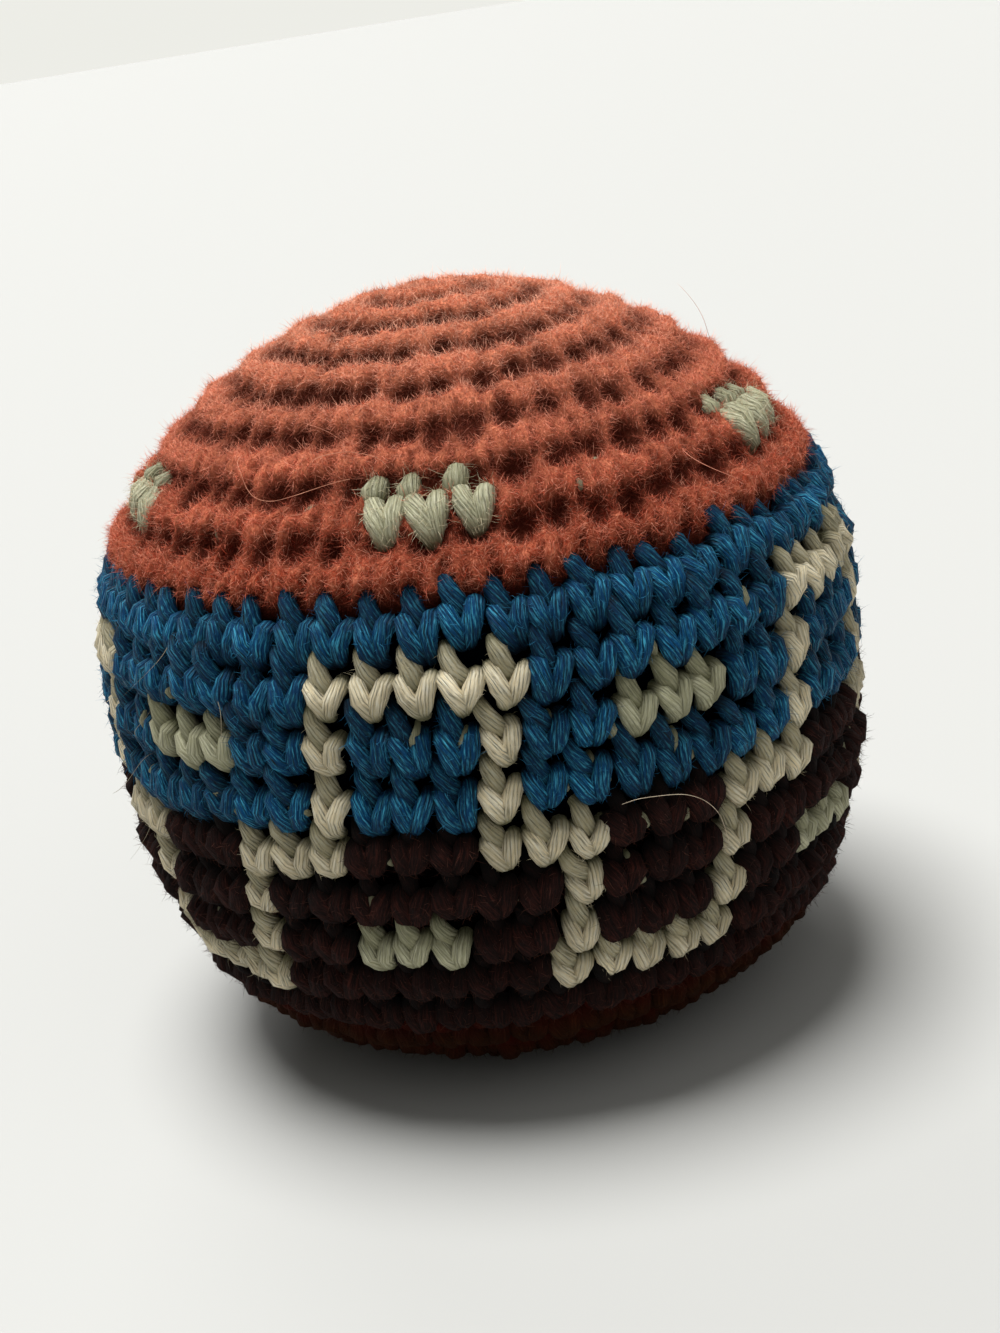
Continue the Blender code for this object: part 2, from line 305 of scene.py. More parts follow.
# The carried yarn peeps out as slivers: upright in the
# notch of a stitch, and slanting at its right-hand edge
carriedLines = {
    "carriedNotchYarn": {"sliver": [
        (0.00, 0.00, -1.9, 0.45), (0.01, 0.09, -1.25, 0.62), (0.02, 0.20, -1.12, 0.70),
        (0.01, 0.31, -1.35, 0.52), (-0.02, 0.37, -1.9, 0.40),
    ]},
    "carriedSideYarn": {"sliver": [
        (0.33, 0.13, -1.8, 0.42), (0.39, 0.07, -1.18, 0.58), (0.44, -0.02, -1.08, 0.62),
        (0.47, -0.11, -1.25, 0.50), (0.47, -0.17, -1.9, 0.38),
    ]},
}


def lineObject(name, lines, lean=colourPattern["stitchLean"]):
    points, edges, thickness, levels = [], [], [], []
    for line in lines.values():
        for number, (across, up, out, thick) in enumerate(line):
            if number:
                edges.append((len(points) - 1, len(points)))
            points.append((across + up * lean, up, out))
            thickness.append(thick)
            levels.append(out)
    mesh = bpy.data.meshes.new(name)
    mesh.from_pydata(points, edges, [])
    addLayer(mesh, "thickness", thickness)
    addLayer(mesh, "level", levels)
    return linked(name, mesh)


# Node helpers, for geometry and for materials
def socketOf(node, key):
    if isinstance(key, int):
        return node.inputs[key]
    named = [socket for socket in node.inputs if socket.name == key and socket.enabled]
    return named[0] if named else next(socket for socket in node.inputs if socket.identifier == key)


def place(tree, kind, given=None, **settings):
    node = tree.nodes.new(kind)
    for name, value in settings.items():
        setattr(node, name, value)
    for key, value in (given or {}).items():
        socket = socketOf(node, key)
        if isinstance(value, bpy.types.NodeSocket):
            tree.links.new(value, socket)
        else:
            socket.default_value = value
    return node


def result(node, name=None):
    shown = (socket for socket in node.outputs if socket.enabled)
    return next(socket for socket in shown if name is None or socket.name == name)


def placed(tree, kind, given=None, **settings):
    return result(place(tree, kind, given, **settings))


def maths(tree, operation, first, second=0.0, third=None):
    given = {0: first, 1: second}
    if third is not None:
        given[2] = third
    return placed(tree, "ShaderNodeMath", given, operation=operation)


def vectorMaths(tree, operation, first, second=None, scale=None):
    given = {0: first}
    if second is not None:
        given[1] = second
    if scale is not None:
        given["Scale"] = scale
    return placed(tree, "ShaderNodeVectorMath", given, operation=operation)


def vectorOf(tree, x, y, z):
    return placed(tree, "ShaderNodeCombineXYZ", {"X": x, "Y": y, "Z": z})


def noiseAt(tree, spot, scale, detail, given=None, **settings):
    values = {"Vector": spot, "Scale": scale, "Detail": detail, **(given or {})}
    return place(tree, "ShaderNodeTexNoise", values, **settings)


def rampOf(tree, value, low, high, start=0.0, end=1.0):
    return placed(tree, "ShaderNodeMapRange", {
        "Value": value, "From Min": low, "From Max": high, "To Min": start, "To Max": end,
    })


def newTree(name, sockets):
    tree = bpy.data.node_groups.new(name, "GeometryNodeTree")
    tree.interface.new_socket("Geometry", in_out="INPUT", socket_type="NodeSocketGeometry")
    for label, kind in sockets:
        tree.interface.new_socket(label, in_out="INPUT", socket_type="NodeSocket" + kind)
    tree.interface.new_socket("Geometry", in_out="OUTPUT", socket_type="NodeSocketGeometry")
    start = tree.nodes.new("NodeGroupInput")
    return tree, {socket.name: socket for socket in start.outputs}


def endTree(tree, geometry, material):
    soft = placed(tree, "GeometryNodeSetShadeSmooth", {"Geometry": geometry})
    real = placed(tree, "GeometryNodeRealizeInstances", {"Geometry": soft})
    painted = placed(tree, "GeometryNodeSetMaterial", {"Geometry": real, "Material": material})
    tree.links.new(painted, tree.nodes.new("NodeGroupOutput").inputs[0])


def runTree(tree, name, mesh, values):
    carrier = linked(name + "Seats", mesh)
    modifier = carrier.modifiers.new("Make", "NODES")
    modifier.node_group = tree
    for item in tree.interface.items_tree:
        if item.in_out == "INPUT" and item.name in values:
            modifier[item.identifier] = values[item.name]
    graph = bpy.context.evaluated_depsgraph_get()
    made = bpy.data.meshes.new_from_object(carrier.evaluated_get(graph))
    made.name = name
    carrier.modifiers.clear()
    bpy.data.objects.remove(carrier)
    print(name, sum(len(polygon.vertices) - 2 for polygon in made.polygons), "triangles")
    return linked(name, made)


def layerOf(tree, name, kind="FLOAT"):
    return result(place(tree, "GeometryNodeInputNamedAttribute", {"Name": name}, data_type=kind),
                  "Attribute")


def stored(tree, geometry, name, value, kind="FLOAT", domain="POINT"):
    given = {"Geometry": geometry, "Name": name, "Value": value}
    return placed(tree, "GeometryNodeStoreNamedAttribute", given, data_type=kind, domain=domain)


def spotOf(tree):
    return placed(tree, "GeometryNodeInputPosition")


def chanceOf(tree, seed, low=0.0, high=1.0, **given):
    kind = "FLOAT_VECTOR" if isinstance(high, tuple) else "FLOAT"
    return placed(tree, "FunctionNodeRandomValue", {"Min": low, "Max": high, "Seed": seed, **given},
                  data_type=kind)


def turnedBy(tree, rotation, angles):
    turn = placed(tree, "FunctionNodeEulerToRotation", {"Euler": angles})
    return placed(tree, "FunctionNodeRotateRotation", {"Rotation": rotation, "Rotate By": turn},
                  rotation_space="LOCAL")


# Copies of a shape as real geometry, each with a tone by chance
def copiesOn(tree, points, shape, rotation, scale, toneSeed):
    copies = placed(tree, "GeometryNodeInstanceOnPoints", {
        "Points": points, "Instance": shape, "Rotation": rotation, "Scale": scale,
    })
    toned = stored(tree, copies, "tone", chanceOf(tree, toneSeed), domain="INSTANCE")
    return placed(tree, "GeometryNodeRealizeInstances", {"Geometry": toned})


# Points moved a little by a noise, alike where they lie close together, and never below the lowest height
def movedBy(tree, geometry, spot, shift, reach, lowest):
    moved = vectorMaths(tree, "SUBTRACT", result(shift, "Color"), (0.5, 0.5, 0.5))
    moved = vectorMaths(tree, "ADD", spot, vectorMaths(tree, "SCALE", moved, scale=reach))
    kept = vectorMaths(tree, "MAXIMUM", moved, (-1, -1, lowest))
    return placed(tree, "GeometryNodeSetPosition", {"Geometry": geometry, "Position": kept})


# The lowest height keeps the yarn's surface above the floor
yarnForm = {
    "shiftScale": 420.0, "lowest": 0.00115, "swellScale": 900.0, "swell": 0.5, "thinnest": 0.75,
    "startShift": 0.01,
}


# Crochet stitches: yarn lines set on the seats, made uneven, then given a plied round section
def makeStitchTree():
    tree, given = newTree("crochetStitches", [
        ("Stitch lines", "Object"), ("Yarn radius", "Float"), ("Plies", "Int"), ("Ply depth", "Float"),
        ("Ply twist", "Float"), ("Rings", "Int"), ("Unevenness", "Float"), ("Turn spread", "Float"),
        ("Size spread", "Float"), ("Seed", "Int"), ("Material", "Material"),
    ])
    seed, bothWays = given["Seed"], ((-1, -1, -1), (1, 1, 1))
    lines = place(tree, "GeometryNodeObjectInfo", {"Object": given["Stitch lines"]},
                  transform_space="ORIGINAL")
    curves = placed(tree, "GeometryNodeMeshToCurve", {"Mesh": result(lines, "Geometry")})
    smooth = placed(tree, "GeometryNodeCurveSplineType", {"Curve": curves}, spline_type="CATMULL_ROM")
    even = placed(tree, "GeometryNodeResampleCurve", {"Curve": smooth, "Count": given["Rings"]})
    upright = placed(tree, "FunctionNodeAxesToRotation", {
        "Primary Axis": layerOf(tree, "out", "FLOAT_VECTOR"),
        "Secondary Axis": layerOf(tree, "side", "FLOAT_VECTOR"),
    }, primary_axis="Z", secondary_axis="X")
    turned = vectorMaths(tree, "SCALE", chanceOf(tree, seed, *bothWays), scale=given["Turn spread"])
    sizes = chanceOf(tree, maths(tree, "ADD", seed, 7), *bothWays)
    grown = vectorMaths(tree, "ADD", vectorMaths(tree, "SCALE", sizes, scale=given["Size spread"]),
                        (1, 1, 1))
    scale = vectorMaths(tree, "MULTIPLY", layerOf(tree, "room", "FLOAT_VECTOR"), grown)
    rotation = turnedBy(tree, upright, turned)
    loose = copiesOn(tree, given["Geometry"], even, rotation, scale, maths(tree, "ADD", seed, 3))
    spot = spotOf(tree)
    shift = noiseAt(tree, spot, yarnForm["shiftScale"], 1.0, {"W": seed}, noise_dimensions="4D")
    uneven = movedBy(tree, loose, spot, shift, given["Unevenness"], yarnForm["lowest"])

    # the plied section: a star with shallow dents, turned along the yarn
    length = result(place(tree, "GeometryNodeSplineParameter"), "Length")
    start = chanceOf(tree, seed, 0.0, math.tau,
                     ID=result(place(tree, "GeometryNodeCurveOfPoint"), "Curve Index"))
    twist = maths(tree, "MULTIPLY_ADD", length, given["Ply twist"], start)
    tilted = placed(tree, "GeometryNodeSetCurveTilt", {"Curve": uneven, "Tilt": twist})
    path = stored(tree, tilted, "along", maths(tree, "MULTIPLY_ADD", start, yarnForm["startShift"], length))
    dents = maths(tree, "SUBTRACT", 1.0, given["Ply depth"])
    star = place(tree, "GeometryNodeCurveStar",
                 {"Points": given["Plies"], "Inner Radius": dents, "Outer Radius": 1.0})
    around = vectorMaths(tree, "NORMALIZE", spotOf(tree))
    section = stored(tree, result(star, "Curve"), "around", around, "FLOAT_VECTOR")
    swell = result(noiseAt(tree, spotOf(tree), yarnForm["swellScale"], 1.0))
    swelling = maths(tree, "MULTIPLY_ADD", swell, yarnForm["swell"], yarnForm["thinnest"])
    thick = maths(tree, "MULTIPLY", layerOf(tree, "thickness"), given["Yarn radius"])
    yarn = placed(tree, "GeometryNodeCurveToMesh", {
        "Curve": path, "Profile Curve": section, "Fill Caps": True,
        "Scale": maths(tree, "MULTIPLY", thick, swelling),
    })
    endTree(tree, yarn, given["Material"])
    return tree


def isAbove(tree, value, limit):
    return placed(tree, "FunctionNodeCompare", {0: value, 1: limit}, data_type="FLOAT",
                  operation="GREATER_THAN")


leastFacing = 0.05  # fuzz grows only where the yarn faces away from the bag's centre


# Short fibres that stand off the yarn, bent more towards their tips
def makeFuzzTree():
    tree, given = newTree("yarnFuzz", [
        ("Fibre", "Object"), ("Density", "Float"), ("Shortest", "Float"), ("Longest", "Float"),
        ("Lean", "Float"), ("Curl", "Float"), ("Curl scale", "Float"), ("Deepest", "Float"),
        ("Centre", "Vector"), ("Seed", "Int"), ("Material", "Material"),
    ])
    seed, lean = given["Seed"], given["Lean"]
    away = vectorMaths(tree, "NORMALIZE", vectorMaths(tree, "SUBTRACT", spotOf(tree), given["Centre"]))
    normal = placed(tree, "GeometryNodeInputNormal")
    facing = place(tree, "ShaderNodeVectorMath", {0: normal, 1: away}, operation="DOT_PRODUCT")
    shown = placed(tree, "FunctionNodeBooleanMath", {
        0: isAbove(tree, layerOf(tree, "level"), given["Deepest"]),
        1: isAbove(tree, result(facing, "Value"), leastFacing),
    }, operation="AND")
    roots = place(tree, "GeometryNodeDistributePointsOnFaces", {
        "Mesh": given["Geometry"], "Selection": shown, "Density": given["Density"], "Seed": seed,
    })
    tilt = chanceOf(tree, seed, (-1, -1, -math.pi), (1, 1, math.pi))
    rotation = turnedBy(tree, result(roots, "Rotation"),
                        vectorMaths(tree, "MULTIPLY", tilt, vectorOf(tree, lean, lean, 1.0)))
    length = chanceOf(tree, maths(tree, "ADD", seed, 5), given["Shortest"], given["Longest"])
    fibre = place(tree, "GeometryNodeObjectInfo", {"Object": given["Fibre"]}, transform_space="ORIGINAL")
    loose = copiesOn(tree, result(roots, "Points"), result(fibre, "Geometry"), rotation,
                     vectorOf(tree, 1.0, 1.0, length), maths(tree, "ADD", seed, 9))
    spot = spotOf(tree)
    wave = noiseAt(tree, spot, given["Curl scale"], 0.0)
    reach = maths(tree, "MULTIPLY", layerOf(tree, "tip"), given["Curl"])
    endTree(tree, movedBy(tree, loose, spot, wave, reach, 0.0), given["Material"])
    return tree


# Fibres a metre long, which each seat shortens: thin cones
# closed at both ends. The tip layer says how far each bends
def fibreObject(name, width, steps, sides=3, taper=0.5):
    bm = bmesh.new()
    tip = bm.verts.layers.float.new("tip")
    rings = []
    for step in range(steps):
        share = step / steps
        radius = width / 2 * (1 - taper * share)
        turns = [number * math.tau / sides for number in range(sides)]
        ring = [bm.verts.new((radius * math.cos(turn), radius * math.sin(turn), share)) for turn in turns]
        for vert in ring:
            vert[tip] = share * share
        rings.append(ring)
    point = bm.verts.new((0, 0, 1))
    point[tip] = 1
    for number in range(sides):
        after = (number + 1) % sides
        for low, high in zip(rings[:-1], rings[1:]):
            bm.faces.new((low[number], low[after], high[after], high[number]))
        bm.faces.new((rings[-1][number], rings[-1][after], point))
    bm.faces.new(rings[0][::-1])
    mesh = bpy.data.meshes.new(name)
    bm.to_mesh(mesh)
    bm.free()
    return linked(name, mesh)


def shaderLayer(tree, name, part="Fac"):
    return result(place(tree, "ShaderNodeAttribute", attribute_name=name), part)


def objectSpot(tree):
    return result(place(tree, "ShaderNodeTexCoord"), "Object")


def splitOf(tree, vector):
    node = place(tree, "ShaderNodeSeparateXYZ", {"Vector": vector})
    return node.outputs["X"], node.outputs["Y"], node.outputs["Z"]


# How the spun yarn's pattern lies. Levels are in millimetres below the crests, as in the stitch lines;
# painted shade starts at the shallow level and is full at the deep one
spinning = {
    "across": 2.2, "along": 0.45, "toneShift": 40.0, "driftScale": 1.1, "drift": 4.6, "sharpness": 0.9,
    "fineScale": 3.4, "hairStretch": (3.0, 3.0, 2.6), "hairDistortion": 0.9, "shallow": -0.80, "deep": -1.65,
    "relief": 0.6,
}


# Shader group for spun yarn: fine fibres along the plies, furrows between them, and slow changes of shade.
# Depth says how far below the crests the yarn lies, for painted shade in the recesses
def makeYarnGroup():
    tree = bpy.data.node_groups.new("spunYarn", "ShaderNodeTree")
    for label, value in (("Strands", 8.0), ("Wool", 0.0), ("Patch scale", 250.0)):
        socket = tree.interface.new_socket(label, in_out="INPUT", socket_type="NodeSocketFloat")
        socket.default_value = value
    for label in ("Height", "Furrow", "Streak", "Patch", "Depth", "Tone"):
        tree.interface.new_socket(label, in_out="OUTPUT", socket_type="NodeSocketFloat")
    given = tree.nodes.new("NodeGroupInput").outputs
    tone = shaderLayer(tree, "tone")
    x, y, z = splitOf(tree, shaderLayer(tree, "around", "Vector"))
    length = maths(tree, "MULTIPLY", shaderLayer(tree, "along"), 1 / millimetre)
    path = vectorOf(
        tree, maths(tree, "MULTIPLY", x, spinning["across"]), maths(tree, "MULTIPLY", y, spinning["across"]),
        maths(tree, "MULTIPLY_ADD", tone, spinning["toneShift"],
              maths(tree, "MULTIPLY", length, spinning["along"])),
    )
    drift = result(noiseAt(tree, path, spinning["driftScale"], 1.0))
    angle = maths(tree, "ARCTAN2", y, x)
    phase = maths(tree, "MULTIPLY", angle, maths(tree, "MULTIPLY", given["Strands"], 0.5))
    phase = maths(tree, "MULTIPLY_ADD", drift, spinning["drift"], phase)
    ridge = maths(tree, "POWER", maths(tree, "ABSOLUTE", maths(tree, "COSINE", phase)),
                  spinning["sharpness"])
    fine = result(noiseAt(tree, path, spinning["fineScale"], 3.0, {"Roughness": 0.6}))
    stretched = vectorMaths(tree, "MULTIPLY", path, spinning["hairStretch"])
    hairy = result(noiseAt(tree, stretched, 1.0, 4.0,
                           {"Roughness": 0.7, "Distortion": spinning["hairDistortion"]}))
    uneven = maths(tree, "MULTIPLY", maths(tree, "SUBTRACT", 1.0, ridge),
                   rampOf(tree, fine, 0.35, 0.65, 0.3, 1.6))
    smooth = maths(tree, "SUBTRACT", 1.0, uneven)
    streak = placed(tree, "ShaderNodeMix", {"Factor": given["Wool"], "A": fine, "B": hairy})
    woolly = rampOf(tree, hairy, 0.3, 0.6)
    strand = placed(tree, "ShaderNodeMix", {"Factor": given["Wool"], "A": smooth, "B": woolly})
    relief = maths(tree, "MULTIPLY", streak, 1 - spinning["relief"])
    made = {
        "Height": maths(tree, "MULTIPLY_ADD", strand, spinning["relief"], relief),
        "Furrow": maths(tree, "SUBTRACT", 1.0, strand), "Streak": streak,
        "Patch": result(noiseAt(tree, objectSpot(tree), given["Patch scale"], 2.0)),
        "Depth": rampOf(tree, shaderLayer(tree, "level"), spinning["shallow"], spinning["deep"]),
        "Tone": tone,
    }
    end = tree.nodes.new("NodeGroupOutput")
    for label, socket in made.items():
        tree.links.new(socket, end.inputs[label])
    return tree


def linear(colour):
    return tuple(c / 12.92 if c <= 0.04045 else ((c + 0.055) / 1.055) ** 2.4 for c in colour) + (1.0,)


def mixColour(tree, factor, first, second):
    return placed(tree, "ShaderNodeMix", {"Factor": factor, "A": first, "B": second}, data_type="RGBA")


def newMaterial(name):
    material = bpy.data.materials.new(name)
    material.use_nodes = True
    return material, material.node_tree, material.node_tree.nodes["Principled BSDF"]


def setShader(shader, **values):
    for name, value in values.items():
        shader.inputs[name.replace("_", " ")].default_value = value


# Painted light and shade on the wool: paler at the top of the dome and darker low down, between these
# heights
paintedTopLightHeights = (0.048, 0.060)
paintedLowShadeHeights = (0.050, 0.038)


def shareByHeight(tree, heights, most):
    return rampOf(tree, splitOf(tree, objectSpot(tree))[2], *heights, 0.0, most)


def makeYarnMaterial(name, finish, group):
    material, tree, shader = newMaterial(name)
    yarn = place(tree, "ShaderNodeGroup", node_tree=group)
    yarn.inputs["Strands"].default_value = finish["strands"]
    yarn.inputs["Wool"].default_value = finish["wool"]
    look = yarn.outputs
    main, pale, dark, hollow = (linear(finish[key]) for key in ("main", "pale", "dark", "hollow"))
    # pale streaks along the fibres: partly the yarn's own tone, partly painted highlight
    colour = mixColour(tree, rampOf(tree, look["Streak"], finish["streaks"], 0.64), main, pale)
    colour = mixColour(tree, rampOf(tree, look["Patch"], 0.35, 0.7, 0.0, finish["patch"]), colour, dark)
    colour = mixColour(tree, rampOf(tree, look["Tone"], 0.0, 1.0, 0.0, finish["toneSpread"]), colour, dark)
    # painted shade in the furrows between the plies
    colour = mixColour(tree, rampOf(tree, look["Furrow"], 0.2, 1.0, 0.0, finish["furrow"]), colour, dark)
    # painted shade low down and painted light at the top of the dome
    colour = mixColour(tree, shareByHeight(tree, paintedLowShadeHeights, finish["paintedLowShade"]), colour, dark)
    colour = mixColour(tree, shareByHeight(tree, paintedTopLightHeights, finish["paintedTopLight"]), colour, pale)
    # painted shade: the deeper the yarn lies in the fabric, the nearer it comes to the hollow colour
    colour = mixColour(tree, rampOf(tree, look["Depth"], 0.0, 1.0, 0.0, finish["deep"]), colour, hollow)
    tree.links.new(colour, shader.inputs["Base Color"])
    rough = rampOf(tree, look["Streak"], 0.3, 0.7, finish["roughness"], finish["roughness"] - 0.12)
    tree.links.new(rough, shader.inputs["Roughness"])
    bump = placed(tree, "ShaderNodeBump", {"Height": look["Height"], "Strength": 1.0, "Distance": 0.00025})
    tree.links.new(bump, shader.inputs["Normal"])
    setShader(shader, Sheen_Weight=finish["sheen"], Sheen_Roughness=0.5, Sheen_Tint=pale,
              Specular_IOR_Level=finish["specular"])
    return material


def makeFuzzMaterial(name, finish):
    material, tree, shader = newMaterial(name)
    # Fibres toned by chance, and painted lighter at the top of the dome
    toned = maths(tree, "MULTIPLY", shaderLayer(tree, "tone"), 0.75)
    pale = maths(tree, "MAXIMUM", toned, shareByHeight(tree, paintedTopLightHeights, finish["paintedTopLight"]))
    colour = mixColour(tree, pale, linear(finish["main"]), linear(finish["pale"]))
    # painted shade on fibres deep in the fabric and low down, and darker patches by chance
    depth = rampOf(tree, shaderLayer(tree, "level"), -1.0, -1.9, 0.0, 0.85)
    depth = maths(tree, "MAXIMUM", depth, shareByHeight(tree, paintedLowShadeHeights, finish["paintedLowShade"]))
    patch = result(noiseAt(tree, objectSpot(tree), 500.0, 2.0))
    depth = maths(tree, "MAXIMUM", depth, rampOf(tree, patch, 0.5, 0.68, 0.0, 0.4))
    tree.links.new(mixColour(tree, depth, colour, linear(finish["hollow"])), shader.inputs["Base Color"])
    setShader(shader, Roughness=0.9, Specular_IOR_Level=0.08)
    return material


yarnGroup = makeYarnGroup()
stitchTree = makeStitchTree()
fuzzTree = makeFuzzTree()
stitchPath = lineObject("stitchPath", stitchLines)
bluePath = lineObject("bluePath", blueLines)
woolPath = lineObject("woolPath", woolLines)
domeDashPath = lineObject("domeDashPath", domeDashLines)
bentFibre = fibreObject("bentFibre", 0.000035, 2)
shortFibre = fibreObject("shortFibre", 0.00004, 1)
strayFibre = fibreObject("strayFibre", 0.00005, 12)
seats = laySeats()
print("trees and seats ready:", {kind: len(places) for kind, places in seats.items()})

# In each yarn's colours, dark also serves as painted shade in the furrows and low down, hollow is painted
# shade deep in the fabric, and pale is also painted highlight on the streaks and painted light at the top
rustFinish = {
    "main": (0.82, 0.37, 0.25), "pale": (0.98, 0.61, 0.46), "dark": (0.42, 0.11, 0.05),
    "hollow": (0.24, 0.03, 0.008), "strands": 6.0, "streaks": 0.4, "wool": 0.8, "patch": 0.5,
    "toneSpread": 0.25, "furrow": 0.6, "deep": 0.9, "roughness": 0.95, "sheen": 0.1, "specular": 0.05,
    "paintedTopLight": 0.7, "paintedLowShade": 0.5,
}
# The base is the rust wool painted dark brown, as painted shade for the shade it lies in
shadedBaseFinish = {
    **rustFinish, "main": (0.20, 0.105, 0.05), "pale": (0.30, 0.18, 0.09), "dark": (0.10, 0.045, 0.015),
}
brownFinish = {
    "main": (0.105, 0.040, 0.032), "pale": (0.32, 0.155, 0.125), "dark": (0.04, 0.018, 0.016),
    "hollow": (0.01, 0.005, 0.005), "strands": 6.0, "streaks": 0.45, "wool": 0.6, "patch": 0.5,
    "toneSpread": 0.5, "furrow": 0.8, "deep": 0.95, "roughness": 0.95, "sheen": 0.0, "specular": 0.1,
    "paintedTopLight": 0.0, "paintedLowShade": 0.0,
}
cottonFinish = {"strands": 14.0, "wool": 0.3, "sheen": 0.0, "paintedTopLight": 0.0, "paintedLowShade": 0.0}
blueFinish = {
    **cottonFinish, "main": (0.00, 0.285, 0.475), "pale": (0.34, 0.79, 0.93), "dark": (0.00, 0.035, 0.09),
    "hollow": (0.00, 0.04, 0.09), "streaks": 0.485, "patch": 0.45, "toneSpread": 0.35, "furrow": 1.0,
    "deep": 0.9, "roughness": 0.6, "specular": 0.12,
}
beigeFinish = {
    **cottonFinish, "main": (0.96, 0.89, 0.73), "pale": (1.00, 0.98, 0.90), "dark": (0.36, 0.32, 0.20),
    "hollow": (0.36, 0.36, 0.23), "streaks": 0.42, "patch": 0.3, "toneSpread": 0.25, "furrow": 0.72,
    "deep": 0.85, "roughness": 0.7, "specular": 0.3,
}
dashFinish = {
    **beigeFinish, "main": (0.72, 0.71, 0.57), "pale": (0.92, 0.91, 0.79), "dark": (0.34, 0.34, 0.24),
    "furrow": 0.6,
}

cottonStitch = {
    "Stitch lines": stitchPath, "Yarn radius": 0.00081, "Plies": 10, "Ply depth": 0.06, "Ply twist": -450.0,
    "Rings": 9, "Unevenness": 0.0009, "Turn spread": 0.14, "Size spread": 0.12,
}
blueStitch = {**cottonStitch, "Stitch lines": bluePath}
domeDashStitch = {
    **cottonStitch, "Stitch lines": domeDashPath, "Yarn radius": 0.00090, "Unevenness": 0.0005,
    "Turn spread": 0.07,
}
woolStitch = {
    "Stitch lines": woolPath, "Yarn radius": 0.00098, "Plies": 6, "Ply depth": 0.05, "Ply twist": -400.0,
    "Rings": 10, "Unevenness": 0.0012, "Turn spread": 0.13, "Size spread": 0.09,
}
dashNodes = [f"{row}_dash_{n}" for row in ("upper", "lower") for n in range(1, 6)]
domeDashNodes = [f"dome_dash_{n}" for n in range(1, 6)]
stitchPieces = {
    "blueBandStitches": ("blueBand", blueFinish, blueStitch, "blue_cotton", ["cover_blue_band"]),
    "brownBandStitches": ("brownBand", brownFinish, woolStitch, "brown_wool", ["cover_brown_band"]),
    "rustBaseStitches": ("rustBase", shadedBaseFinish, woolStitch, "rust_wool", ["cover_rust_base"]),
    "steppedLineStitches": ("stepped", beigeFinish, cottonStitch, "beige_cotton", ["stepped_line"]),
    "dashStitches": ("dashes", dashFinish, cottonStitch, "beige_cotton", dashNodes),
    "domeDashStitches": ("domeDashes", dashFinish, domeDashStitch, "beige_cotton", domeDashNodes),
}

# The dome's wool is felted: its stitches run together in one skin of ridges,
# with a hollow above each stitch. Lengths are in metres, and places on a
# stitch are in stitches across and in rounds up, as for the stitch lines
feltShape = {
    "rings": 165, "endRound": 8.1, "innerInset": 0.0020, "innerTurns": 90, "innerRows": 30,
    "deepest": 0.0019, "crest": 0.52, "groove": 0.95, "grooveDepth": 0.00066, "grooveNarrowing": 1.3,
    "wander": 0.10, "wanderScale": 170, "edgeStart": 7.80, "edgeEnd": 8.06, "levelShift": 0.72,
    "innerLevel": -3.0, "lumps": ((380.0, 0.00030), (950.0, 0.00020), (2100.0, 0.00010)), "toneScale": 160,
    "aroundScale": 450, "bedEdge": 3.0, "bedDepth": 0.6, "seed": 17,
}
feltHollow = {
    "middle": (0.06, 0.51), "reach": (0.31, 0.28), "jitter": 0.12, "spread": 0.30, "shallowest": 0.55,
    "edge": 1.5, "atCentre": 0.45, "growth": 0.16,
}
feltCrease = {
    "depth": 0.00050, "growth": 2.8, "width": 0.09, "low": -0.5, "rise": 0.2, "high": 0.30, "middle": 0.7,
}
feltBeds = {
    "dashStitch": {"middle": (0.06, -0.02), "reach": (0.53, 0.41), "narrowing": 0.5, "depth": 0.0016},
    "dashLeaf": {"middle": (-0.38, 0.52), "reach": (0.20, 0.26), "narrowing": 0.0, "depth": 0.0017},
    "blueTip": {"middle": (-0.24, 0.56), "reach": (0.24, 0.30), "narrowing": 0.0, "depth": 0.0016},
}


# The points near a stitch, and where they lie on it
def nearSeat(points, seat):
    share, turn, width, pitch = seat
    point, outward, side, up = onCover(share, turn)
    offset = points - np.array(point)
    near = np.nonzero(np.einsum("ij,ij->i", offset, offset) < (1.6 * pitch) ** 2)[0]
    rise = offset[near] @ np.array(up) / pitch
    return near, offset[near] @ np.array(side) / width - rise * colourPattern["stitchLean"], rise


def softSpot(across, rise, middle, reach, sharp):
    away = ((across - middle[0]) / reach[0]) ** 2 + ((rise - middle[1]) / reach[1]) ** 2
    return np.exp(-away**sharp)


def softStep(values, low, high):
    share = np.clip((values - low) / (high - low), 0, 1)
    return share * share * (3 - 2 * share)


def noiseOver(points, scale):
    return np.array([noise.noise(Vector(point) * scale) for point in points])


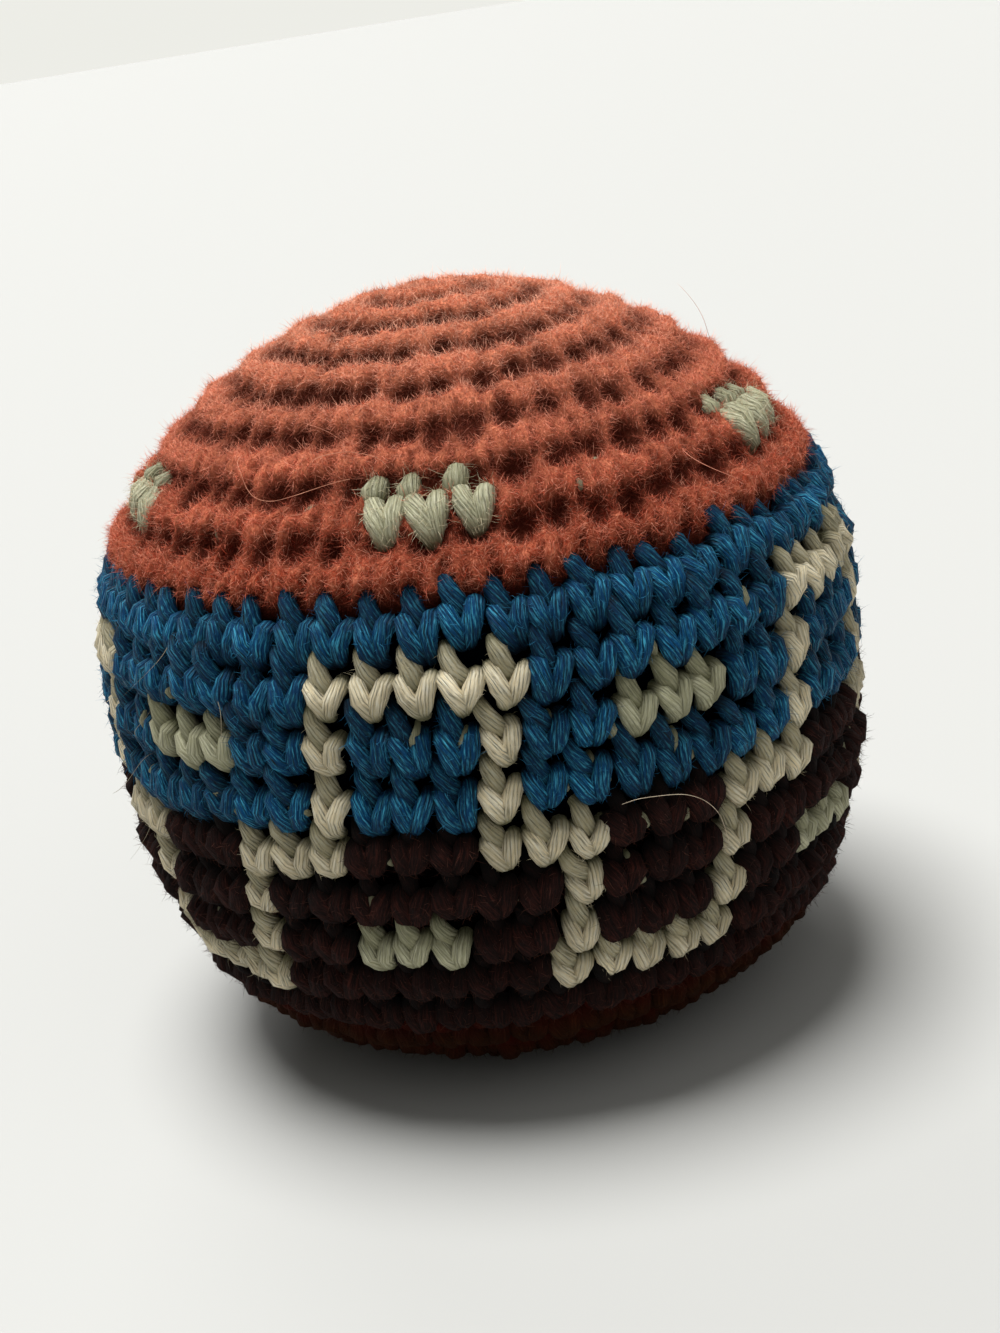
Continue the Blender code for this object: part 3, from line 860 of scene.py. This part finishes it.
# How far each point of the skin lies under the crests
def feltDepths(points, rounds):
    shape, hollow, crease = feltShape, feltHollow, feltCrease
    chance = np.random.default_rng(shape["seed"])
    fromGroove = (rounds + shape["wander"] * noiseOver(points, shape["wanderScale"]) - shape["groove"]) % 1
    crest = shape["crest"] - shape["groove"] + 1
    rising = np.where(fromGroove < crest, fromGroove / crest, (1 - fromGroove) / (1 - crest))
    depths = shape["grooveDepth"] * (0.5 + 0.5 * np.cos(math.pi * rising)) ** shape["grooveNarrowing"]
    hollows, creases, beds = np.zeros((3, len(points)))
    for seat in seats["rustDome"] + seats["domeDashes"]:
        near, across, rise = nearSeat(points, seat)
        shift = chance.uniform(-1, 1, 2) * hollow["jitter"]
        size = 1 + chance.uniform(-1, 1, 2) * hollow["spread"]
        strength = chance.uniform(hollow["shallowest"], 1.0)
        strength *= min(1.0, hollow["atCentre"] + seat[0] / hollow["growth"])
        middle, reach = np.add(hollow["middle"], shift), np.multiply(hollow["reach"], size)
        spot = softSpot(across, rise, middle, reach, hollow["edge"])
        hollows[near] = np.maximum(hollows[near], spot * strength)
        window = softStep(rise, crease["low"], crease["low"] + crease["rise"])
        window *= 1 - softStep(rise, 0.0, crease["high"])
        lines = np.exp(-((np.abs(across) - 0.5) / crease["width"]) ** 2)
        lines += crease["middle"] * np.exp(-(across / crease["width"]) ** 2)
        creases[near] = np.maximum(creases[near], lines * window * (0.5 + crease["growth"] * seat[0]))
    firstRound = yarnRounds["blueBand"][0] + roundCentres("blueBand")[1]
    firstBlue = [seat for seat in seats["blueBand"] if seat[0] < firstRound]
    laid = {"dashStitch": seats["domeDashes"], "dashLeaf": seats["domeDashes"], "blueTip": firstBlue}
    for kind, bed in feltBeds.items():
        for seat in laid[kind]:
            near, across, rise = nearSeat(points, seat)
            below = np.clip(bed["middle"][1] - rise, 0, shape["bedDepth"])
            width = bed["reach"][0] - bed["narrowing"] * below
            spot = softSpot(across, rise, bed["middle"], (width, bed["reach"][1]), shape["bedEdge"])
            beds[near] = np.maximum(beds[near], spot * bed["depth"])
    depths += creases * crease["depth"]
    depths += (shape["deepest"] - depths) * hollows
    depths = np.maximum(depths, beds)
    return depths + (shape["deepest"] - depths) * softStep(rounds, shape["edgeStart"], shape["edgeEnd"])


# Triangles between rings of points round the dome's centre, six more in each than in the one within it
def ringFaces(count):
    faces = []
    for ring in range(1, count + 1):
        outer, inner = 1 + 3 * ring * (ring - 1), 1 + 3 * (ring - 1) * (ring - 2)
        for sector in range(6):
            for step in range(ring):
                low = outer + sector * ring + step
                after = outer + (sector * ring + step + 1) % (6 * ring)
                high = inner + (sector * (ring - 1) + step) % (6 * (ring - 1)) if ring > 1 else 0
                faces.append((high, low, after))
                if step < ring - 1:
                    faces.append((high, after, inner + (sector * (ring - 1) + step + 1) % (6 * (ring - 1))))
    return faces


# The inner side that closes the skin, from the last ring's points on
def innerFaces(last, count, first):
    turns, rows = feltShape["innerTurns"], feltShape["innerRows"]
    faces, ratio, centre = [], 6 * count // turns, first + (rows - 1) * turns
    for number in range(turns):
        after = (number + 1) % turns
        for edge in range(number * ratio, (number + 1) * ratio):
            faces.append((last + (edge + 1) % (6 * count), last + edge, first + number))
        faces.append((last + (number + 1) * ratio % (6 * count), first + number, first + after))
        for row in range(rows - 2):
            low, high = first + row * turns, first + (row + 1) * turns
            faces.append((low + number, high + number, high + after, low + after))
        faces.append((centre - turns + number, centre, centre - turns + after))
    return faces


def makeFelt(name, material):
    shape, pitchShare = feltShape, roundCentres("rustDome")[1]
    count = shape["rings"]
    rings = np.concatenate([[0]] + [np.full(6 * ring, ring) for ring in range(1, count + 1)])
    ringTurns = [np.arange(6 * ring) / (6 * ring) * math.tau for ring in range(1, count + 1)]
    turns = np.concatenate([[0.0]] + ringTurns)
    rounds = rings / count * shape["endRound"]
    ways = rounds * pitchShare * outlineWay[-1]
    radii, heights, runs, rises = (np.interp(ways, outlineWay, line) for line in outlineLines)
    steep = np.hypot(runs, rises)
    cosine, sine = np.cos(turns), np.sin(turns)
    points = np.stack([radii * cosine, radii * sine, heights], axis=1)
    outs = np.stack([-rises / steep * cosine, -rises / steep * sine, runs / steep], axis=1)
    depths = feltDepths(points, rounds)
    for scale, size in shape["lumps"]:
        depths += size * noiseOver(points, scale)
    depths = np.minimum(depths, shape["deepest"])
    innerTurns = np.arange(shape["innerTurns"]) / shape["innerTurns"] * math.tau
    innerShares = np.linspace(shape["endRound"] * pitchShare, 0, shape["innerRows"])[:-1]
    inside = [onCover(share, turn, shape["innerInset"])[0] for share in innerShares for turn in innerTurns]
    inside.append(onCover(0.0, 0.0, shape["innerInset"])[0])
    spots = np.concatenate([points - outs * depths[:, None], np.array(inside)])
    mesh = bpy.data.meshes.new(name)
    faces = ringFaces(count) + innerFaces(1 + 3 * count * (count - 1), count, len(points))
    mesh.from_pydata(spots.tolist(), [], faces)
    # the levels set how much painted shade each point takes in the yarn's material; the inner side takes it
    # in full
    levels = np.concatenate([-depths / millimetre, np.full(len(inside), shape["innerLevel"])])
    addLayer(mesh, "level", levels - shape["levelShift"])
    addLayer(mesh, "along", spots[:, 2])
    addLayer(mesh, "tone", 0.5 + 0.5 * noiseOver(spots, shape["toneScale"]))
    addLayer(mesh, "around", spots * (shape["aroundScale"], shape["aroundScale"], 0))
    mesh.shade_smooth()
    mesh.materials.append(material)
    print(name, sum(len(face) - 2 for face in faces), "triangles")
    return linked(name, mesh)


made = {"rustDomeFelt": makeFelt("rustDomeFelt", makeYarnMaterial("rustDomeYarn", rustFinish, yarnGroup))}
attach(made["rustDomeFelt"], "root")
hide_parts("cover_rust_dome")
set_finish(made["rustDomeFelt"], "rust_wool")
for number, (name, (kind, finish, yarn, slot, nodes)) in enumerate(stitchPieces.items()):
    material = makeYarnMaterial(name + "Yarn", finish, yarnGroup)
    values = {**yarn, "Seed": 11 + number, "Material": material}
    piece = runTree(stitchTree, name, seatMesh(name, seats[kind]), values)
    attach(piece, "root")
    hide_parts(*nodes)
    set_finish(piece, slot)
    made[name] = piece

carriedStitch = {
    **cottonStitch, "Yarn radius": 0.00055, "Rings": 7, "Plies": 5, "Unevenness": 0.0012, "Turn spread": 0.2,
    "Size spread": 0.2, "Material": makeYarnMaterial("carriedYarn", dashFinish, yarnGroup),
}
for number, (name, lines) in enumerate(carriedLines.items()):
    path = lineObject(name + "Path", lines)
    values = {**carriedStitch, "Stitch lines": path, "Seed": 23 + number}
    carried = runTree(stitchTree, name, seatMesh(name, seats[name]), values)
    bpy.data.objects.remove(path)
    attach(carried, "root")
    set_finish(carried, "beige_cotton")
print("stitches made")

# Fibre colours: main and pale by each fibre's tone; hollow is painted shade on fibres deep in the fabric and
# low down
noPaintedLightByHeight = {"paintedTopLight": 0.0, "paintedLowShade": 0.0}
paleRust = {
    "main": (0.86, 0.36, 0.235), "pale": (1.0, 0.74, 0.62), "hollow": (0.34, 0.03, 0.004), "paintedTopLight": 1.0,
    "paintedLowShade": 0.6,
}
deepRust = {
    "main": (0.69, 0.215, 0.12), "pale": (0.96, 0.60, 0.47), "hollow": (0.30, 0.025, 0.003), "paintedTopLight": 1.0,
    "paintedLowShade": 0.6,
}
darkBrown = {**noPaintedLightByHeight, "main": (0.12, 0.05, 0.04), "pale": (0.42, 0.27, 0.22),
             "hollow": (0.02, 0.01, 0.01)}
# painted shade: the base's fibres are darkened like its yarn
shadedBaseRust = {**noPaintedLightByHeight, "main": (0.22, 0.115, 0.055), "pale": (0.34, 0.20, 0.11),
            "hollow": (0.08, 0.03, 0.015)}
paleBlue = {**noPaintedLightByHeight, "main": (0.01, 0.25, 0.40), "pale": (0.30, 0.64, 0.80), "hollow": (0.0, 0.05, 0.10)}
paleBeige = {**noPaintedLightByHeight, "main": (0.75, 0.70, 0.56), "pale": (0.95, 0.90, 0.78),
             "hollow": (0.30, 0.28, 0.20)}
paleHair = {**noPaintedLightByHeight, "main": (0.78, 0.70, 0.60), "pale": (0.95, 0.88, 0.78),
            "hollow": (0.50, 0.42, 0.34)}
fadedRustHair = {**noPaintedLightByHeight, "main": (0.78, 0.50, 0.40), "pale": (0.90, 0.66, 0.54),
            "hollow": (0.50, 0.25, 0.18)}
paleGrey = {**noPaintedLightByHeight, "main": (0.48, 0.44, 0.36), "pale": (0.72, 0.68, 0.58),
            "hollow": (0.30, 0.28, 0.22)}

# The yarn that each layer of fuzz stands on, its fibre and colours, how many to a square metre,
# the shortest and longest, how far they lean, and how deep in millimetres the layer reaches
fuzzPieces = {
    "domeFuzz": ("rustDomeFelt", bentFibre, paleRust, 4.2e6, 0.0005, 0.0014, 1.4, -2.2),
    "domeDown": ("rustDomeFelt", shortFibre, paleRust, 9.8e6, 0.0004, 0.0010, 1.4, -2.4),
    "domeDownDeep": ("rustDomeFelt", shortFibre, deepRust, 9.3e6, 0.0004, 0.0010, 1.35, -2.9),
    "domeStrays": ("rustDomeFelt", strayFibre, paleRust, 4000.0, 0.003, 0.008, 1.4, -1.2),
    "brownFuzz": ("brownBandStitches", bentFibre, darkBrown, 3.0e6, 0.0004, 0.0010, 1.35, -1.4),
    "blueFuzz": ("blueBandStitches", bentFibre, paleBlue, 2.2e6, 0.0003, 0.0010, 1.4, -1.5),
    "beigeFuzz": ("steppedLineStitches", bentFibre, paleBeige, 1.4e6, 0.0002, 0.0006, 1.5, -1.5),
    "domeDashFuzz": ("domeDashStitches", bentFibre, paleBeige, 4.6e6, 0.0004, 0.0012, 1.4, -1.5),
    "bandStrays": ("blueBandStitches", strayFibre, paleGrey, 3200.0, 0.003, 0.007, 1.4, -1.2),
    "baseFuzz": ("rustBaseStitches", shortFibre, shadedBaseRust, 1.5e6, 0.0003, 0.0008, 1.1, -1.4),
}
curls = {bentFibre: (0.0013, 900.0), shortFibre: (0.0, 900.0), strayFibre: (0.012, 100.0)}
for number, (name, setting) in enumerate(fuzzPieces.items()):
    source, fibre, finish, density, shortest, longest, lean, deepest = setting
    curl, curlScale = curls[fibre]
    piece = runTree(fuzzTree, name, made[source].data.copy(), {
        "Fibre": fibre, "Density": density, "Shortest": shortest, "Longest": longest, "Lean": lean,
        "Curl": curl, "Curl scale": curlScale, "Deepest": deepest,
        "Centre": (0.0, 0.0, coverShape["baseDepth"]), "Seed": 31 + number,
        "Material": makeFuzzMaterial(name + "Fibre", finish),
    })
    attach(piece, "root")
    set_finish(piece, made[source]["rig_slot"])
print("fuzz made")

# The loose fibres, one over the brown band and two on the dome: share along the outline, degrees round, and
# millimetres above
looseFibres = {
    "looseFibreBand": (paleHair, [
        (0.520, 284.8, 0.2), (0.517, 286.6, 0.7), (0.517, 288.9, 1.1), (0.520, 291.9, 1.3),
        (0.526, 294.1, 1.2), (0.535, 296.1, 1.0), (0.547, 297.8, 0.8), (0.561, 299.1, 0.4),
        (0.578, 300.3, 0.0),
    ]),
    "looseFibreLeft": (fadedRustHair, [
        (0.2353, 226.7, 0.1), (0.2460, 229.0, 0.9), (0.2564, 231.4, 0.9), (0.2665, 233.6, 0.8),
        (0.2735, 236.2, 0.8), (0.2758, 239.5, 0.8), (0.2728, 243.5, 0.9), (0.2632, 249.0, 0.5),
        (0.2560, 252.0, -0.2),
    ]),
    "looseFibreRight": (fadedRustHair, [
        (0.2470, 243.0, -0.2), (0.2432, 245.7, 0.7), (0.2411, 249.1, 0.9), (0.2403, 252.6, 0.8),
        (0.2443, 257.1, 0.4), (0.2500, 259.0, -0.2),
    ]),
}
looseFibre = {"across": 0.00004, "rings": 60, "plies": 3}


# A thread laid along points of its own, plied as the other yarns are
def makeThread(name, points, across, rings, plies, material):
    path = lineObject(name + "Path", {"line": [(*point, 1.0) for point in points]}, 0.0)
    mesh = bpy.data.meshes.new(name)
    mesh.from_pydata([(0, 0, 0)], [], [])
    for label, value in (("out", (0, 0, 1)), ("side", (1, 0, 0)), ("room", (1, 1, 1))):
        addLayer(mesh, label, [value])
    values = {
        "Stitch lines": path, "Yarn radius": across / 2, "Plies": plies, "Ply depth": 0.1,
        "Ply twist": 900.0, "Rings": rings, "Unevenness": 0.0, "Turn spread": 0.0, "Size spread": 0.0,
        "Seed": 3, "Material": material,
    }
    thread = runTree(stitchTree, name, mesh, values)
    bpy.data.objects.remove(path)
    return thread


for name, (colours, places) in looseFibres.items():
    points = [onCover(share, math.radians(turn), -lift * millimetre)[0] for share, turn, lift in places]
    loose = makeThread(name, points, *looseFibre.values(), makeFuzzMaterial(name, colours))
    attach(loose, "root")
    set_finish(loose, "beige_cotton")
print("loose fibres made")

# Inside the cover: its inner side, darkened as painted shade behind the stitches, and the pouch, drawn
# together at a tied neck, with its pellets
insideShape = {"inset": 0.0021, "rows": 97, "turns": 96}
# Painted shade: very dark versions of each yarn, for the shade behind the stitches
insideShadeColours = {
    "rustDome": (0.28, 0.06, 0.03), "blueBand": (0.002, 0.012, 0.03), "brownBand": (0.015, 0.008, 0.008),
    "rustBase": (0.06, 0.02, 0.01),
}
pouchShape = {
    "inset": 0.0030, "wall": 0.0005, "gatherShare": 0.22, "neckLength": 0.0042, "neckRadius": 0.0035,
    "rows": 70, "neckRows": 12, "turns": 120, "pleats": 14, "pleatDepth": 0.10, "pinch": 0.12, "flare": 0.10,
    "topShare": 0.035,
}
pouchCloth = {"dark": (0.62, 0.60, 0.53), "pale": (0.86, 0.84, 0.77), "warps": 240.0, "wefts": 9000.0}
tieShape = {"across": 0.00042, "turns": 3, "steps": 24, "clearance": 0.00035, "pitch": 1.05, "rings": 90,
            "plies": 5}
pelletShape = {"across": 0.0042, "jitter": 0.0003, "clearance": 0.0008, "smallest": 0.88, "spread": 0.066,
               "seed": 8}


# A body turned about +Z from rows of radius, height and pleat depth, which start and end on the axis
def turnedBody(name, rows, turns, pleats=0):
    bm = bmesh.new()
    rings = []
    for radius, height, depth in rows[1:-1]:
        ring = []
        for number in range(turns):
            turn = number * math.tau / turns
            reach = radius * (1 + depth * math.cos(pleats * turn))
            ring.append(bm.verts.new((reach * math.cos(turn), reach * math.sin(turn), height)))
        rings.append(ring)
    poles = [bm.verts.new((0, 0, rows[end][1])) for end in (0, -1)]
    for number in range(turns):
        after = (number + 1) % turns
        bm.faces.new((poles[0], rings[0][after], rings[0][number]))
        bm.faces.new((poles[1], rings[-1][number], rings[-1][after]))
        for first, second in zip(rings[:-1], rings[1:]):
            bm.faces.new((first[number], first[after], second[after], second[number]))
    bmesh.ops.recalc_face_normals(bm, faces=bm.faces)
    mesh = bpy.data.meshes.new(name)
    bm.to_mesh(mesh)
    bm.free()
    mesh.shade_smooth()
    return linked(name, mesh)


def makeInsideMaterial():
    # painted shade behind the stitches, by zone, mottled darker at random
    material, tree, shader = newMaterial("coverInsidePaintedShade")
    spot = objectSpot(tree)
    height = splitOf(tree, spot)[2]
    colour = linear(insideShadeColours["rustDome"])
    for yarn in ("blueBand", "brownBand", "rustBase"):
        below = maths(tree, "LESS_THAN", height, onCover(yarnRounds[yarn][0], 0)[0].z)
        colour = mixColour(tree, below, colour, linear(insideShadeColours[yarn]))
    lint = result(noiseAt(tree, spot, 900.0, 3.0))
    mottled = mixColour(tree, rampOf(tree, lint, 0.3, 0.7, 0.0, 0.6), colour, (0, 0, 0, 1))
    tree.links.new(mottled, shader.inputs["Base Color"])
    bump = placed(tree, "ShaderNodeBump", {"Height": lint, "Strength": 0.8, "Distance": 0.0005})
    tree.links.new(bump, shader.inputs["Normal"])
    setShader(shader, Roughness=1.0, Specular_IOR_Level=0.0)
    return material


def makeClothMaterial():
    material, tree, shader = newMaterial("pouchWeave")
    spot = objectSpot(tree)
    x, y, z = splitOf(tree, spot)
    warp = maths(tree, "SINE", maths(tree, "MULTIPLY", maths(tree, "ARCTAN2", y, x), pouchCloth["warps"]))
    weft = maths(tree, "SINE", maths(tree, "MULTIPLY", z, pouchCloth["wefts"]))
    weave = maths(tree, "MULTIPLY", warp, weft)
    shade = maths(tree, "MULTIPLY_ADD", weave, 0.25, result(noiseAt(tree, spot, 300.0, 3.0)))
    colour = mixColour(tree, rampOf(tree, shade, 0.2, 0.8), linear(pouchCloth["dark"]),
                       linear(pouchCloth["pale"]))
    tree.links.new(colour, shader.inputs["Base Color"])
    bump = placed(tree, "ShaderNodeBump", {"Height": weave, "Strength": 0.5, "Distance": 0.0001})
    tree.links.new(bump, shader.inputs["Normal"])
    setShader(shader, Roughness=0.9)
    return material


def makePelletMaterial():
    material, tree, shader = newMaterial("pelletPlastic")
    tone = shaderLayer(tree, "tone")
    colour = mixColour(tree, tone, linear((0.74, 0.75, 0.74)), linear((0.93, 0.93, 0.91)))
    tree.links.new(colour, shader.inputs["Base Color"])
    tree.links.new(rampOf(tree, tone, 0.0, 1.0, 0.3, 0.5), shader.inputs["Roughness"])
    setShader(shader, Subsurface_Weight=0.2, Subsurface_Scale=0.001)
    return material


# Rows of the pouch from the middle of its base up to the gathered neck
def layerRows(inset, firstRadius):
    rows = []
    for share in np.linspace(1.0, 0.0, pouchShape["rows"]):
        gather = max(1 - share / pouchShape["gatherShare"], 0.0)
        point = onCover(share, 0, inset + pouchShape["neckLength"] * gather**2)[0]
        if share < 0.5 and point.x < firstRadius:
            break
        rows.append((max(point.x, 0.0), point.z, pouchShape["pleatDepth"] * gather**2))
    return rows


def makePouch():
    shape = pouchShape
    outer = layerRows(shape["inset"], shape["neckRadius"])
    inner = layerRows(shape["inset"] + shape["wall"], shape["neckRadius"])
    shoulder = outer[-1][1]
    top = onCover(shape["topShare"], 0, shape["inset"])[0].z
    middle = (shoulder + top) / 2
    neck = []
    for height in np.linspace(shoulder, top, shape["neckRows"]):
        pinch = shape["pinch"] * math.exp(-((height - middle) / (tieShape["across"] * 2)) ** 2)
        flare = shape["flare"] * max(height - middle, 0) / (top - middle)
        neck.append((shape["neckRadius"] * (1 - pinch + flare), height, shape["pleatDepth"]))
    lining = [(radius - shape["wall"], height, depth) for radius, height, depth in neck[::-1]]
    rows = outer[:-1] + neck + lining + inner[::-1][1:]
    body = turnedBody("pouchCloth", rows, shape["turns"], shape["pleats"])
    body.data.materials.append(makeClothMaterial())
    return body, middle, shoulder


# Rounded pellets, each turned, sized and toned by chance
def makePelletTree():
    tree, given = newTree("scatteredPellets", [
        ("Across", "Float"), ("Smallest", "Float"), ("Seed", "Int"), ("Material", "Material"),
    ])
    seed = given["Seed"]
    pellet = place(tree, "GeometryNodeMeshIcoSphere", {
        "Radius": maths(tree, "MULTIPLY", given["Across"], 0.5), "Subdivisions": 2,
    })
    turn = chanceOf(tree, seed, (0.0, 0.0, 0.0), (math.tau,) * 3)
    rotation = placed(tree, "FunctionNodeEulerToRotation", {"Euler": turn})
    pellets = copiesOn(tree, given["Geometry"], result(pellet, "Mesh"), rotation,
                       chanceOf(tree, seed, given["Smallest"], 1.0), maths(tree, "ADD", seed, 2))
    endTree(tree, pellets, given["Material"])
    return tree


# The pellets lie packed as closely as spheres can, up to the pouch's shoulder
def makePellets(shoulder):
    across = pelletShape["across"]
    chance = np.random.default_rng(pelletShape["seed"])
    reach = int(pelletShape["spread"] / across) + 1
    both, up = range(-reach, reach), range(-1, reach)
    steps = np.array([(a, b, c) for a in both for b in both for c in up])
    spots = np.stack([
        steps[:, 0] + 0.5 * ((steps[:, 1] + steps[:, 2]) % 2),
        math.sqrt(3) / 2 * steps[:, 1] + math.sqrt(3) / 6 * (steps[:, 2] % 2),
        math.sqrt(6) / 3 * steps[:, 2],
    ], axis=1) * across
    radii = np.hypot(spots[:, 0], spots[:, 1])
    ways = np.hypot(radii[:, None] - outlineLines[0][::8], spots[:, 2:3] - outlineLines[1][::8])
    widest = np.interp(spots[:, 2], outlineLines[1][::-1], outlineLines[0][::-1])
    margin = pouchShape["inset"] + pouchShape["wall"] + pelletShape["clearance"] + across / 2
    kept = (ways.min(axis=1) > margin) & (radii < widest) & (spots[:, 2] > margin)
    kept &= spots[:, 2] < shoulder - pouchShape["wall"] - across / 2
    spots = spots[kept] + chance.uniform(-1, 1, (kept.sum(), 3)) * pelletShape["jitter"] / 2
    mesh = bpy.data.meshes.new("pellets")
    mesh.from_pydata(spots.tolist(), [], [])
    return runTree(makePelletTree(), "pellets", mesh, {
        "Across": across - pelletShape["jitter"], "Smallest": pelletShape["smallest"], "Seed": 4,
        "Material": makePelletMaterial(),
    })


insideShares = np.linspace(0, 1, insideShape["rows"])
insidePoints = [onCover(share, 0, insideShape["inset"])[0] for share in insideShares]
inside = turnedBody("coverInside", [(point.x, point.z, 0.0) for point in insidePoints], insideShape["turns"])
inside.data.materials.append(makeInsideMaterial())
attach(inside, "root")
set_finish(inside, "brown_wool")

pouch, neckMiddle, shoulder = makePouch()
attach(pouch, "root")
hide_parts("pouch")
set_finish(pouch, "pouch_cloth")

tieRadius = pouchShape["neckRadius"] + tieShape["clearance"] + tieShape["across"] / 2
tieTurns = np.linspace(0, tieShape["turns"], tieShape["turns"] * tieShape["steps"] + 1)
tiePoints = []
for turn in tieTurns:
    height = neckMiddle + (turn - tieShape["turns"] / 2) * tieShape["across"] * tieShape["pitch"]
    tiePoints.append((tieRadius * math.cos(math.tau * turn), tieRadius * math.sin(math.tau * turn), height))
threadFinish = {
    **beigeFinish, "main": (0.84, 0.82, 0.78), "pale": (0.95, 0.94, 0.90), "dark": (0.55, 0.53, 0.48),
    "strands": 5.0,
}
threadMaterial = makeYarnMaterial("tieThread", threadFinish, yarnGroup)
tie = makeThread("pouchTieThread", tiePoints, tieShape["across"], tieShape["rings"], tieShape["plies"],
                 threadMaterial)
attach(tie, "root")
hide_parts("pouch_tie")
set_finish(tie, "tie_thread")

pellets = makePellets(shoulder)
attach(pellets, "root")
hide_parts("pellet_filling")
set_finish(pellets, "pellets")
print("inside of the cover, pouch, tie and pellets made")

for helper in (stitchPath, bluePath, woolPath, domeDashPath, bentFibre, shortFibre, strayFibre):
    bpy.data.objects.remove(helper)

stageSetting = {
    "floor": (0.715, 0.715, 0.703), "floorRadius": 9.0, "floorDrop": 0.0001, "sky": (0.93, 0.93, 0.905),
    "skyLight": 0.15,
}
lampSettings = {
    "backRim": {"from": (-0.25, 1.0, 0.75), "spread": math.radians(30), "power": 0.9},
    "overhead": {"from": (-0.12, 0.03, 1.0), "spread": math.radians(32), "power": 4.6},
    "frontFill": {"from": (0.6, -0.9, 1.2), "spread": math.radians(60), "power": 0.42},
}
cameraSetting = {
    "place": (0.00118, -0.165, 0.0843), "down": math.radians(18.66), "roll": math.radians(-9.1),
    "lens": 53.94, "sensor": 36.0, "nearest": 0.01,
}


def makeFloor():
    bm = bmesh.new()
    bmesh.ops.create_circle(bm, cap_ends=True, segments=96, radius=stageSetting["floorRadius"])
    mesh = bpy.data.meshes.new("floor")
    bm.to_mesh(mesh)
    bm.free()
    floor = linked("floor", mesh)
    floor.location.z = -stageSetting["floorDrop"]
    material, tree, shader = newMaterial("paleFloor")
    setShader(shader, Base_Color=linear(stageSetting["floor"]), Roughness=0.8, Specular_IOR_Level=0.1)
    floor.data.materials.append(material)


def makeWorld():
    world = bpy.data.worlds.new("studio")
    bpy.context.scene.world = world
    world.use_nodes = True
    tree = world.node_tree
    sky = tree.nodes["Background"]
    sky.inputs["Color"].default_value = linear(stageSetting["sky"])
    path = place(tree, "ShaderNodeLightPath")
    seen = maths(tree, "MAXIMUM", result(path, "Is Camera Ray"), result(path, "Is Glossy Ray"))
    tree.links.new(rampOf(tree, seen, 0.0, 1.0, stageSetting["skyLight"], 1.0), sky.inputs["Strength"])


def makeLamp(name, setting):
    light = bpy.data.lights.new(name, "SUN")
    light.angle = setting["spread"]
    light.energy = setting["power"]
    linked(name, light).rotation_euler = Vector(setting["from"]).to_track_quat("Z", "Y").to_euler()


def makeCamera():
    data = bpy.data.cameras.new("photoView")
    data.lens = cameraSetting["lens"]
    data.sensor_width = cameraSetting["sensor"]
    data.clip_start = cameraSetting["nearest"]
    camera = linked("photoView", data)
    tilt = Matrix.Rotation(math.pi / 2 - cameraSetting["down"], 4, "X")
    tilt = tilt @ Matrix.Rotation(cameraSetting["roll"], 4, "Z")
    camera.matrix_world = Matrix.Translation(cameraSetting["place"]) @ tilt
    bpy.context.scene.camera = camera


makeFloor()
makeWorld()
for name, setting in lampSettings.items():
    makeLamp(name, setting)
makeCamera()
bpy.context.scene.view_settings.view_transform = "Standard"
print("stage set")
